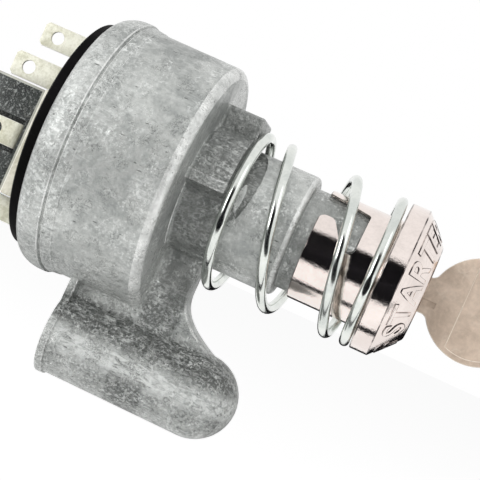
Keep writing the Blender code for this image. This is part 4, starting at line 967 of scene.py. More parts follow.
def box(name: str, low: Sequence[float], high: Sequence[float], edge: float = 0.0) -> bpy.types.Object:
    """Make a box between two corners, with rounded edges.

    Args:
        name: the object's name.
        low: lowest corner.
        high: highest corner.
        edge: width of the edges' bevel.

    Returns:
        The box.
    """
    work = bmesh.new()
    bmesh.ops.create_cube(work, size=1.0)
    for vert in work.verts:
        vert.co = [low[i] if vert.co[i] < 0.0 else high[i] for i in range(3)]
    if edge > 0.0:
        made = bmesh.ops.bevel(work, geom=list(work.edges), offset=edge, segments=2, profile=0.5,
                               affect="EDGES")
        for face in made["faces"]:
            face.material_index = 1
    return mesh_object(name, work)


def rod(name: str, start: Vector, end: Vector, radius: float, steps: int = 32,
        edge: float = 0.0) -> bpy.types.Object:
    """Make a round rod between two points.

    Args:
        name: the object's name.
        start: middle of the first end.
        end: middle of the last end.
        radius: the rod's radius.
        steps: facets round it.
        edge: rounding of its two ends.

    Returns:
        The rod.
    """
    length = (end - start).length
    obj = turned(name, [(0.0, length, 0.0), (radius, length, edge), (radius, 0.0, edge), (0.0, 0.0, 0.0)],
                 steps, True)
    turn = Vector((0.0, 1.0, 0.0)).rotation_difference(end - start).to_matrix().to_4x4()
    obj.data.transform(Matrix.Translation(start) @ turn)
    return obj


def unite(body: bpy.types.Object, tools: Iterable[bpy.types.Object], operation: str) -> bpy.types.Object:
    """Apply Booleans to a body and remove the tools.

    Args:
        body: the solid that is changed.
        tools: the solids that are added or cut away.
        operation: UNION, DIFFERENCE or INTERSECT.

    Returns:
        The body with a plain mesh.
    """
    for tool in tools:
        work = bmesh.new()
        work.from_mesh(tool.data)
        if work.calc_volume(signed=True) < 0.0:
            bmesh.ops.reverse_faces(work, faces=work.faces)
        work.to_mesh(tool.data)
        work.free()
        modifier = body.modifiers.new("cut", "BOOLEAN")
        modifier.operation = operation
        modifier.solver = "EXACT"
        modifier.material_mode = "INDEX"
        modifier.object = tool
        mesh = plain_mesh(body)
        body.modifiers.clear()
        body.data = mesh
        bpy.data.objects.remove(tool, do_unlink=True)
    return body


def join(name: str, parts: Sequence[bpy.types.Object]) -> bpy.types.Object:
    """Put several meshes into one object.

    Args:
        name: the new object's name.
        parts: the objects, which are removed.

    Returns:
        The joined object.
    """
    work = bmesh.new()
    for part in parts:
        work.from_mesh(part.data)
        bpy.data.objects.remove(part, do_unlink=True)
    return mesh_object(name, work)


class Workshop:
    """Gives pieces their material and body."""

    def __init__(self, frame: dict, palette: Palette) -> None:
        """Keep the frame and the materials.

        Args:
            palette: the built materials.
        """
        self.nodes = frame["nodes"]
        self.palette = palette

    def hand_over(self, obj: bpy.types.Object, finish: Finish, body: Body,
                  nodes: Sequence[str] = (), crease: float = 38.0) -> bpy.types.Object:
        """Finish a piece and set it on its body.

        Args:
            obj: the piece.
            finish: its main finish.
            body: the body that it rides on.
            nodes: the nodes that it stands for.
            crease: angle above which an edge stays sharp.

        Returns:
            The finished piece.
        """
        mesh = obj.data
        marks = mesh.attributes.new(EDGE, "FLOAT", "CORNER")
        values = [0.0] * len(mesh.loops)
        for polygon in mesh.polygons:
            if polygon.material_index == 1:
                for index in polygon.loop_indices:
                    values[index] = 1.0
            polygon.material_index = 0
        marks.data.foreach_set("value", values)
        mesh.materials.clear()
        mesh.materials.append(self.palette[finish])
        mesh.shade_smooth()
        mesh.set_sharp_from_angle(angle=crease * DEG)
        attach(obj, body.value)
        if nodes:
            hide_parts(*nodes)
        LOG.info("%s: %d faces", obj.name, len(mesh.polygons))
        return obj

    def refine(self, node: str, finish: Finish, body: Body) -> bpy.types.Object:
        """Replace a node by a merged, smoothed copy of itself.

        Args:
            node: the node's name.
            finish: its finish.
            body: the body that it rides on.

        Returns:
            The finished copy.
        """
        work = bmesh.new()
        work.from_mesh(self.nodes[node].data)
        bmesh.ops.remove_doubles(work, verts=work.verts, dist=WELD)
        bmesh.ops.dissolve_limit(work, angle_limit=0.5 * DEG, verts=work.verts, edges=work.edges)
        for face in work.faces:
            face.material_index = 0
        return self.hand_over(mesh_object(node + "_dressed", work), finish, body, (node,), 34.0)


@dataclass
class Casting:
    """The zinc housing: cup, collar, barrel, nose, web and side boss."""

    cup_front: float = 51.4 * MM
    cup_rear: float = 84.8 * MM
    cup_radius: float = 33.0 * MM
    wall_rear: float = 33.3 * MM
    band: float = 33.9 * MM
    band_front: float = 74.5 * MM
    rim: float = 34.4 * MM
    rim_front: float = 77.5 * MM
    rim_edge: float = 31.6 * MM
    barrel_radius: float = 16.0 * MM
    nose_radius: float = 13.4 * MM
    nose_end: float = -3.2 * MM
    face_bore: float = 10.2 * MM
    plug_bore: float = 7.6 * MM
    plug_step: float = 1.5 * MM
    plug_end: float = 21.3 * MM
    clip_groove: float = 8.3 * MM
    clip_front: float = 16.9 * MM
    clip_rear: float = 18.5 * MM
    shaft_bore: float = 5.3 * MM
    spring_bore: float = 12.3 * MM
    spring_end: float = 30.0 * MM
    cup_bore: float = 30.0 * MM
    plate_seat: float = 32.1 * MM
    plate_front: float = 79.5 * MM
    lip_bore: float = 30.9 * MM
    lip_front: float = 83.2 * MM
    track: float = 17.0 * MM
    shoulder: float = 23.0 * MM
    collar_front: float = 41.5 * MM
    collar_radius: float = 20.4 * MM
    collar_top: float = 23.4 * MM
    collar_bore: float = 14.2 * MM
    rib_reach: float = 21.2 * MM
    cove: float = 1.8 * MM
    panel: float = 19.3 * MM
    boss_drop: float = 46.8 * MM
    boss_radius: float = 11.0 * MM
    boss_core: float = 7.6 * MM
    boss_tip: float = 19.1 * MM
    boss_end: float = 70.0 * MM
    flute: float = 3.2 * MM
    web: float = 8.0 * MM
    web_cove: float = 3.2 * MM
    flange: float = 2.1 * MM
    web_top: float = -31.5 * MM
    web_foot: float = -37.5 * MM
    web_start: float = -23.5 * MM
    web_end: float = 27.0 * MM
    lug_angle: float = 14.98
    scar_width: float = 11.6 * MM
    scar_depth: Point = (15.35 * MM, 17.4 * MM)

    def shell(self) -> bpy.types.Object:
        """Turn the cup, barrel and nose with their hollows.

        Returns:
            The turned shell.
        """
        reach, run = self.rim - self.rim_edge, 5.5 * MM
        turn = self.cup_rear - run
        rolled = [(self.rim_edge + reach * math.sin(a * DEG), turn + run * math.cos(a * DEG), 0.0)
                  for a in range(8, 91, 9)]
        lip = self.rim_edge - 0.7 * MM
        outside = [
            (lip, self.cup_rear - 0.1 * MM, 0.25 * MM), (self.rim_edge - 0.1 * MM, self.cup_rear, 0.0),
            *rolled,
            (self.rim, self.rim_front + 0.4 * MM, 0.3 * MM),
            (self.band - 0.45 * MM, self.rim_front + 0.15 * MM, -0.15 * MM),
            (self.band, self.rim_front - 0.3 * MM, 0.2 * MM),
            (self.wall_rear + 0.25 * MM, self.band_front + 0.1 * MM, 0.15 * MM),
            (self.wall_rear, self.band_front - 0.25 * MM, -0.3 * MM),
            (self.cup_radius, self.cup_front, 2.2 * MM),
            (self.barrel_radius, self.cup_front, -self.cove),
            (self.barrel_radius, self.shoulder, 1.3 * MM),
            (self.nose_radius, self.shoulder, -0.4 * MM), (self.nose_radius, self.nose_end, 0.3 * MM),
        ]
        floor, pit = self.cup_front + 3.0 * MM, self.track
        inside = [
            (self.face_bore, self.nose_end), (self.face_bore, self.plug_step),
            (self.plug_bore, self.plug_step), (self.plug_bore, self.clip_front),
            (self.clip_groove, self.clip_front),
            (self.clip_groove, self.clip_rear), (self.plug_bore, self.clip_rear),
            (self.plug_bore, self.plug_end), (self.shaft_bore, self.plug_end),
            (self.shaft_bore, self.spring_end), (self.spring_bore, self.spring_end),
            (self.spring_bore, floor),
            (pit - 2.45 * MM, floor), (pit - 1.3 * MM, floor - 1.1 * MM), (pit, floor - 1.4 * MM),
            (pit + 1.3 * MM, floor - 1.1 * MM), (pit + 2.45 * MM, floor), (self.cup_bore, floor),
            (self.cup_bore, self.plate_front), (self.plate_seat, self.plate_front),
            (self.plate_seat, self.lip_front), (self.lip_bore, self.lip_front),
        ]
        return turned("housing_casting", outside + [(r, y, 0.0) for r, y in inside], 160)

    @staticmethod
    def wrapped(name: str, outline: Sequence[Corner], middle: float, low: float,
                high: float) -> bpy.types.Object:
        """Wrap a flat outline round the barrel's axis as a curved slab.

        Args:
            name: the object's name.
            outline: corners as y, width across and rounding.
            middle: angle of the outline's middle, from -X towards +Z.
            low: inner radius of the slab.
            high: outer radius of the slab.

        Returns:
            The curved slab.
        """
        points, _ = trace(outline)
        slab = plate(name, [points], 2.0 * (high - MM), outward(middle, high))
        first, last = min(p[0] for p in points) - MM, max(p[0] for p in points) + MM
        profile = [(low, last, 0.0), (high, last, 0.0), (high, first, 0.0), (low, first, 0.0)]
        return unite(slab, [turned(name + "_ring", profile, 160)], "INTERSECT")

    def collar(self) -> list[bpy.types.Object]:
        """Make the half collar with its raised panels, ribs and top lug.

        Returns:
            The solids to add to the shell.
        """
        inner, rear, rise = self.collar_bore, self.cup_front + 1.4 * MM, self.panel + 1.2 * MM
        front, foot = self.collar_front + 0.3 * MM, self.cup_front - 0.4 * MM
        ring = [
            (inner, rear, 0.0), (rise, rear, 0.0), (rise, self.cup_front, 0.0),
            (self.panel, self.cup_front, -1.15 * MM), (self.panel, front, 0.4 * MM), (inner, front, 0.0),
        ]
        parts = [turned("collar", ring, 72, False, 9.0, 162.0)]
        for middle, low, high, index in ((30.0, -8.5 * MM, 8.0 * MM, 2), (150.0, -8.0 * MM, 8.5 * MM, 1)):
            corners = [(self.collar_front, low, 0.4 * MM), (rear, low, 0.4 * MM), (rear, high, 0.4 * MM),
                       (self.collar_front, high, 0.4 * MM)]
            # each panel's rear corner away from the web is cut back and rounded
            corners[index] = (foot, corners[index][1], 3.6 * MM)
            parts.append(self.wrapped("panel", corners, middle, inner, self.collar_radius))
        for side in (-1.0, 1.0):
            left, right = sorted((side * inner, side * self.rib_reach))
            low, high = (left, self.collar_front - 0.3 * MM, 1.7 * MM), (right, rear, 4.6 * MM)
            parts.append(box("rib", low, high, 0.55 * MM))
        parts.append(box("lug", (-7.5 * MM, self.collar_front - 0.15 * MM, inner),
                         (7.5 * MM, rear, self.collar_top), 0.6 * MM))
        return parts

    def web_and_boss(self) -> list[bpy.types.Object]:
        """Make the flat web, the domed boss and the flange that ends both.

        Returns:
            The solids to add to the shell.
        """
        start, end = (self.collar_front, self.web_start), (self.web_end, self.web_foot)
        pulls = (start, (start[0], start[1] - 5.5 * MM), (end[0] + 11.5 * MM, end[1] + 5.2 * MM), end)
        edge = []
        for i in range(17):
            t = i / 16
            weights = ((1 - t) ** 3, 3 * t * (1 - t) ** 2, 3 * t ** 2 * (1 - t), t ** 3)
            edge.append(tuple(sum(w * pull[k] for w, pull in zip(weights, pulls)) for k in (0, 1)))
        rear, inner, top = self.boss_end - 1.0 * MM, self.cup_front + 1.5 * MM, -self.collar_bore
        outline = [(self.collar_front, top), *edge, (rear, self.web_foot), (rear, self.web_top),
                   (inner, self.web_top), (inner, top)]
        web = plate("web", [outline], self.web, Plane.SIDE.value, 0.5 * MM)
        fold = self.web_cove
        rise, foot = self.cup_front + 1.2 * MM, self.cup_front - fold
        cove = [(foot, 0.0), *arc((foot, fold), fold, -90.0, 0.0, 6)[1:], (rise, fold), (rise, 0.0)]
        parts = [web]
        for side in (-1.0, 1.0):
            line = [(side * (self.web / 2.0 + b - 0.02 * MM), a) for a, b in cove]
            parts.append(plate("web_cove", [line], 17.0 * MM, Matrix.Translation((0.0, 0.0, -22.2 * MM))))
        dome = self.boss_tip + self.boss_radius
        profile = [(0.0, self.boss_end, 0.0), (self.boss_radius, self.boss_end, 0.0)]
        profile += [(r, y, 0.0) for r, y in arc((0.0, dome), self.boss_radius, 0.0, -86.0, 14)]
        boss = turned("boss", profile + [(0.0, self.boss_tip, 0.0)], 72, True)
        boss.data.transform(Matrix.Translation((0.0, 0.0, -self.boss_drop)))
        half, radius = 8.0 * MM, self.boss_radius + 0.5 * MM
        low = math.degrees(math.acos(half / radius))
        ring = [(-half, self.web_top), (half, self.web_top)]
        ring += arc((0.0, -self.boss_drop), radius, low, -180.0 - low, 40)
        middle = self.boss_end - self.flange / 2.0
        flange = plate("end_flange", [ring], self.flange,
                       Matrix.Translation((0.0, middle, 0.0)) @ Plane.FACE.value, 0.3 * MM)
        y, z = 60.0 * MM, -35.4 * MM
        pad = rod("pad", Vector((-2.5 * MM, y, z)), Vector((-4.4 * MM, y, z)), 2.2 * MM, 32, 0.2 * MM)
        return parts + [boss, flange, pad, *self.seams()]

    def seams(self) -> list[bpy.types.Object]:
        """Make the two raised seams on the cup's face, beside the web.

        Returns:
            The seams, marked as edges so that they take the pale edge colour: rubbed wear and painted
            highlight.
        """
        low, high = self.cup_front + 0.3 * MM, self.cup_front - 0.22 * MM
        profile = [(17.5 * MM, low, 0.0), (18.0 * MM, low, 0.0), (17.88 * MM, high, 0.0),
                   (17.62 * MM, high, 0.0)]
        made = [turned("seam", profile, 40, False, start, 58.0) for start in (178.0, 304.0)]
        for polygon in (face for seam in made for face in seam.data.polygons):
            polygon.material_index = 1
        return made

    def hollows(self) -> list[bpy.types.Object]:
        """Make the cutters for the boss's core, its flutes, the wafer grooves and the scar.

        Returns:
            The solids to cut away.
        """
        radius, floor = self.boss_core, self.boss_tip + 4.0 * MM
        core = [(0.0, self.boss_end + MM, 0.0), (radius, self.boss_end + MM, 0.0)]
        core += [(r, y, 0.0) for r, y in arc((0.0, floor + radius), radius, 0.0, -84.0, 9)]
        cut = turned("core", core + [(0.0, floor, 0.0)], 48, True)
        cut.data.transform(Matrix.Translation((0.0, 0.0, -self.boss_drop)))
        parts = [cut]
        z = -self.boss_drop - 0.6 * MM
        front, rear = self.boss_tip + 9.0 * MM, self.boss_end - self.flange
        for side in (-1.0, 1.0):
            x = side * (self.boss_radius + 2.75 * MM)
            parts.append(rod("flute", Vector((x, front, z)), Vector((x, rear, z)), self.flute, 48, 1.2 * MM))
        parts.append(box("broach", (-4.3 * MM, 0.0, -9.2 * MM), (4.3 * MM, 13.5 * MM, 9.2 * MM)))
        end, (middle, angle) = self.collar_front - 0.2 * MM, SCAR
        scar = []
        for t in range(0, 360, 9):
            along = min(middle + SCAR_REACH * math.sin(t * DEG), end)
            scar.append((along, self.scar_width * math.cos(t * DEG), 0.0))
        parts.append(self.wrapped("scar", scar, angle, *self.scar_depth))
        return parts

    def lugs(self) -> list[bpy.types.Object]:
        """Make the two bayonet lugs on the nose.

        Returns:
            The solids to add to the nose.
        """
        depth, half = 3.0 * MM, 2.347 * MM
        outline, _ = trace([(8.0 * MM, -half, 1.35 * MM), (10.8 * MM, -half, 1.35 * MM),
                            (10.8 * MM, half, 0.4 * MM), (8.0 * MM, half, 0.4 * MM)])
        height = self.nose_radius + 1.5 * MM - depth / 2.0
        parts = []
        for turn in (0.0, 180.0):
            place = outward(self.lug_angle + turn, height)
            parts.append(plate("bayonet_lug", [outline], depth, place, 0.2 * MM))
        return parts

    def build(self, shop: Workshop) -> None:
        """Join, cut and finish the casting.

        Args:
            shop: the workshop that finishes it.
        """
        body = unite(self.shell(), self.collar() + self.web_and_boss() + self.lugs(), "UNION")
        body = unite(body, self.hollows(), "DIFFERENCE")
        body.name = "housing_casting"
        shop.hand_over(body, Palette.ZINC, Body.SWITCH, ("housing",), 32.0)


@dataclass
class SpadeTerminal:
    """One folded spade terminal with its hole."""

    node: str
    x: float
    z: float
    foot: float = 88.1 * MM
    length: float = 16.5 * MM
    width: float = 6.35 * MM
    thickness: float = 0.8 * MM
    rivet_offset: float = 4.3 * MM
    rivet_hole: float = 1.7 * MM
    tip_hole: float = 1.75 * MM
    tip_cut: float = 0.9 * MM

    def rivet_cutter(self, front: float, rear: float) -> bpy.types.Object:
        """Make the cutter of the rivet's hole.

        Args:
            front: y at which it starts.
            rear: y at which it ends.

        Returns:
            The rod to cut away.
        """
        x = self.x + self.rivet_offset
        return rod("rivet_hole", Vector((x, front, self.z)), Vector((x, rear, self.z)), self.rivet_hole, 24)

    def build(self, shop: Workshop) -> None:
        """Fold the strip, trim its tip and punch its holes.

        Args:
            shop: the workshop that finishes it.
        """
        near, tip = self.x - self.thickness / 2.0, self.foot + self.length
        far, rear = near + self.thickness, self.foot + self.thickness
        outline, _ = trace([(near, self.foot, 1.3 * MM), (near + 7.6 * MM, self.foot, 0.0),
                            (near + 7.6 * MM, rear, 0.0), (far, rear, 0.5 * MM), (far, tip, 0.15 * MM),
                            (near, tip, 0.15 * MM)])
        strip = plate("strip", [outline], self.width, Matrix.Translation((0.0, 0.0, self.z)), 0.12 * MM)
        half, cut, out, end = self.width / 2.0, self.tip_cut, 1.0 * MM, tip + 0.01 * MM
        mask = [(self.foot - out, -half - out), (tip - cut, -half - out), (tip - cut, -half),
                (end, -half + cut), (end, half - cut), (tip - cut, half), (tip - cut, half + out),
                (self.foot - out, half + out)]
        keep = plate("mask", [[(a, b + self.z) for a, b in mask]], 30.0 * MM,
                     Matrix.Translation((self.x, 0.0, 0.0)) @ Plane.SIDE.value)
        unite(strip, [keep], "INTERSECT")
        y = tip - 4.3 * MM
        hole = rod("hole", Vector((near - MM, y, self.z)), Vector((far + MM, y, self.z)), self.tip_hole, 40)
        y, z = self.foot + 3.2 * MM, self.z + 0.9 * MM
        dimple = rod("dimple", Vector((near - 1.02 * MM, y, z)), Vector((near + 0.13 * MM, y, z)),
                     0.35 * MM, 16)
        unite(strip, [hole, self.rivet_cutter(self.foot - MM, rear + MM), dimple], "DIFFERENCE")
        strip.name = self.node + "_strip"
        shop.hand_over(strip, Palette.STRIP, Body.SWITCH, (self.node,))


BLOCK_TERMINAL = SpadeTerminal("block_terminal", -20.4 * MM, -5.9 * MM, 93.2 * MM, 10.5 * MM)
TERMINALS = (
    SpadeTerminal("upper_terminal", -3.0 * MM, 21.5 * MM),
    SpadeTerminal("near_terminal", -13.6 * MM, 11.1 * MM),
    SpadeTerminal("lower_terminal", -3.4 * MM, -24.1 * MM),
    BLOCK_TERMINAL,
)


@dataclass
class TerminalBoard:
    """The black plate, the pale board whose colour is a painted highlight along the block's foot, and the
    speckled block.
    """

    front: float = 78.5 * MM
    rear: float = 87.8 * MM
    slab: float = 91.7 * MM
    block_end: float = 107.2 * MM
    near: float = -20.0 * MM
    far: float = 8.0 * MM
    top: float = 7.2 * MM
    bottom: float = -19.6 * MM
    disc: float = 30.6 * MM
    step: float = 31.8 * MM
    step_front: float = 79.8 * MM
    step_rear: float = 82.9 * MM
    skirt: float = 29.7 * MM
    channel_width: float = 8.75 * MM

    def channel(self) -> bpy.types.Object:
        """Make the cutter of the block's terminal channel.

        Returns:
            The cutter.
        """
        half, z = self.channel_width / 2.0, BLOCK_TERMINAL.z
        return box("channel", (self.near - 2.0 * MM, self.slab + 1.2 * MM, z - half),
                   (self.near + 9.4 * MM, self.block_end + MM, z + half))

    def build(self, shop: Workshop) -> None:
        """Make the disc, the pale board, painted as a highlight line, and the block.

        Args:
            shop: the workshop that finishes them.
        """
        start = self.front - MM
        disc = turned("terminal_disc", [
            (0.0, self.rear, 0.0), (self.disc, self.rear, 0.35 * MM), (self.disc, self.step_rear, 0.0),
            (self.step, self.step_rear, 0.0), (self.step, self.step_front, 0.0),
            (self.skirt, self.step_front, 0.0),
            (self.skirt, self.front, 0.0), (0.0, self.front, 0.0)], 160, True)
        unite(disc, [tab.rivet_cutter(start, self.rear + MM) for tab in TERMINALS], "DIFFERENCE")
        shop.hand_over(disc, Palette.BLACK, Body.SWITCH, ("terminal_plate",))
        low, high = self.bottom - 0.3 * MM, self.top + 0.3 * MM
        near, far = self.near - 0.6 * MM, self.far + 0.6 * MM
        outline, _ = trace([(near, low, 0.4 * MM), (far, low, 0.4 * MM), (far, high, 0.4 * MM),
                            (near, high, 0.4 * MM)])
        middle = (self.rear + self.slab) / 2.0
        slab = plate("board", [outline], self.slab - self.rear,
                     Matrix.Translation((0.0, middle, 0.0)) @ Plane.FACE.value, 0.35 * MM)
        unite(slab, [BLOCK_TERMINAL.rivet_cutter(start, self.slab + MM)], "DIFFERENCE")
        # painted highlight: the pale board stands for the light line along the block's foot
        shop.hand_over(slab, Palette.BOARD_EDGE, Body.SWITCH)
        block = box("block", (self.near, self.slab, self.bottom), (self.far, self.block_end, self.top),
                    0.6 * MM)
        hole = BLOCK_TERMINAL.rivet_cutter(start, self.slab + 2.2 * MM)
        unite(block, [self.channel(), hole], "DIFFERENCE")
        y, z = self.slab + 5.0 * MM, -14.2 * MM
        pip = rod("pip", Vector((self.near + MM, y, z)), Vector((self.near - 0.5 * MM, y, z)), 1.6 * MM, 32,
                  0.3 * MM)
        unite(block, [pip], "UNION")
        shop.hand_over(block, Palette.BLOCK, Body.SWITCH)


@dataclass
class Coil:
    """A wound spring, laid out by a geometry tree along the barrel's axis.

    flat is the closed length at each end, in turns, and ramps the turns that
    the rear and the front take to reach the full rise. start is an angle in
    degrees. flare is how much wider the rear end is, and lean how far its open
    turns tilt along the axis.
    """

    name: str
    radius: float
    wire: float
    turns: float
    rear: float
    front: float
    flat: float
    ramps: Point
    start: float
    flare: float
    lean: float
    per_turn: int = 72
    sides: int = 20

    def tree(self, material: bpy.types.Material) -> tuple[bpy.types.NodeTree, dict[str, str]]:
        """Build the tree that winds the wire.

        Args:
            material: the wire's material.

        Returns:
            The tree and the identifiers of its inputs by name.
        """
        tree = bpy.data.node_groups.new("coil " + self.name, "GeometryNodeTree")
        tree.interface.new_socket("Geometry", in_out="INPUT", socket_type="NodeSocketGeometry")
        names = ("Coil Radius", "Wire Radius", "Turns", "Rear", "Front", "Flat", "Rear Ramp", "Front Ramp",
                 "Start", "Flare", "Lean")
        ids = {}
        for label in names:
            socket = tree.interface.new_socket(label, in_out="INPUT", socket_type="NodeSocketFloat")
            ids[label] = socket.identifier
        tree.interface.new_socket("Geometry", in_out="OUTPUT", socket_type="NodeSocketGeometry")
        g = Graph(tree)
        given = g.node("NodeGroupInput").outputs
        count = round(self.turns * self.per_turn) + 1
        line = g.node("GeometryNodeMeshLine", {"Count": count})
        index = g.node("GeometryNodeInputIndex").outputs[0]
        turn = g.maths("MULTIPLY", g.maths("DIVIDE", index, float(count - 1)), given["Turns"])
        length = g.maths("SUBTRACT", given["Turns"], g.maths("MULTIPLY", given["Flat"], 2.0))
        t = g.maths("MINIMUM", g.maths("MAXIMUM", g.maths("SUBTRACT", turn, given["Flat"]), 0.0), length)
        rear, front = given["Rear Ramp"], given["Front Ramp"]
        first = g.maths("MINIMUM", t, rear)
        last = g.maths("MAXIMUM", g.maths("SUBTRACT", t, g.maths("SUBTRACT", length, front)), 0.0)
        middle = g.maths("SUBTRACT", g.maths("SUBTRACT", t, first), last)
        rise = g.maths("ADD", g.maths("DIVIDE", g.maths("MULTIPLY", first, first), g.maths(
            "MULTIPLY", rear, 2.0)), middle)
        rise = g.maths("ADD", rise, g.maths("SUBTRACT", last, g.maths(
            "DIVIDE", g.maths("MULTIPLY", last, last), g.maths("MULTIPLY", front, 2.0))))
        full = g.maths("SUBTRACT", length, g.maths("MULTIPLY", g.maths("ADD", rear, front), 0.5))
        share = g.maths("DIVIDE", rise, full)
        y = g.maths("ADD", given["Rear"], g.maths(
            "MULTIPLY", share, g.maths("SUBTRACT", given["Front"], given["Rear"])))
        left = g.maths("SUBTRACT", 1.0, share)
        radius = g.maths("ADD", given["Coil Radius"], g.maths("MULTIPLY", given["Flare"], left))
        angle = g.maths("ADD", g.maths("MULTIPLY", turn, 2.0 * math.pi), given["Start"])
        x = g.maths("MULTIPLY", g.maths("SINE", angle), g.maths("MULTIPLY", radius, -1.0))
        z = g.maths("MULTIPLY", g.maths("COSINE", angle), radius)
        bow = g.maths("MULTIPLY", g.maths("MULTIPLY", share, left), g.maths("MULTIPLY", left, 4.0))
        bow = g.maths("MULTIPLY", bow, given["Lean"])
        y = g.maths("ADD", y, g.maths("MULTIPLY", bow, g.maths("COSINE", angle)))
        place = g.node("ShaderNodeCombineXYZ", {0: x, 1: y, 2: z})
        moved = g.node("GeometryNodeSetPosition", {
            "Geometry": line.outputs[0], "Position": place.outputs[0]})
        curve = g.node("GeometryNodeMeshToCurve", {0: moved.outputs[0]})
        ring = g.node("GeometryNodeCurvePrimitiveCircle", {
            "Resolution": self.sides, "Radius": given["Wire Radius"]})
        solid = g.node("GeometryNodeCurveToMesh", {
            "Curve": curve.outputs[0], "Profile Curve": ring.outputs[0], "Fill Caps": True})
        real = g.node("GeometryNodeRealizeInstances", {0: solid.outputs[0]})
        done = g.node("GeometryNodeSetMaterial", {"Geometry": real.outputs[0], "Material": material})
        out = g.node("NodeGroupOutput")
        tree.links.new(done.outputs[0], out.inputs[0])
        return tree, ids

    def build(self, shop: Workshop, finish: Finish, body: Body, slot: str, node: str) -> None:
        """Wind the spring and turn it into a plain mesh.

        Args:
            shop: the workshop that finishes it.
            finish: the wire's finish.
            body: the body that it rides on.
            slot: the record's slot for its material; not used.
            node: the node that it stands for.
        """
        tree, ids = self.tree(shop.palette[finish])
        obj = mesh_object(self.name, bmesh.new())
        modifier = obj.modifiers.new("Wind", "NODES")
        modifier.node_group = tree
        values = {"Coil Radius": self.radius, "Wire Radius": self.wire / 2.0, "Turns": self.turns,
                  "Rear": self.rear, "Front": self.front, "Flat": self.flat,
                  "Rear Ramp": self.ramps[0], "Front Ramp": self.ramps[1],
                  "Start": self.start * DEG, "Flare": self.flare, "Lean": self.lean}
        for label, value in values.items():
            modifier[ids[label]] = value
        mesh = plain_mesh(obj)
        obj.modifiers.clear()
        obj.data = mesh
        work = bmesh.new()
        work.from_mesh(mesh)
        bmesh.ops.remove_doubles(work, verts=work.verts, dist=WELD)
        bmesh.ops.recalc_face_normals(work, faces=work.faces)
        work.to_mesh(mesh)
        work.free()
        shop.hand_over(obj, finish, body, (node,), 50.0)


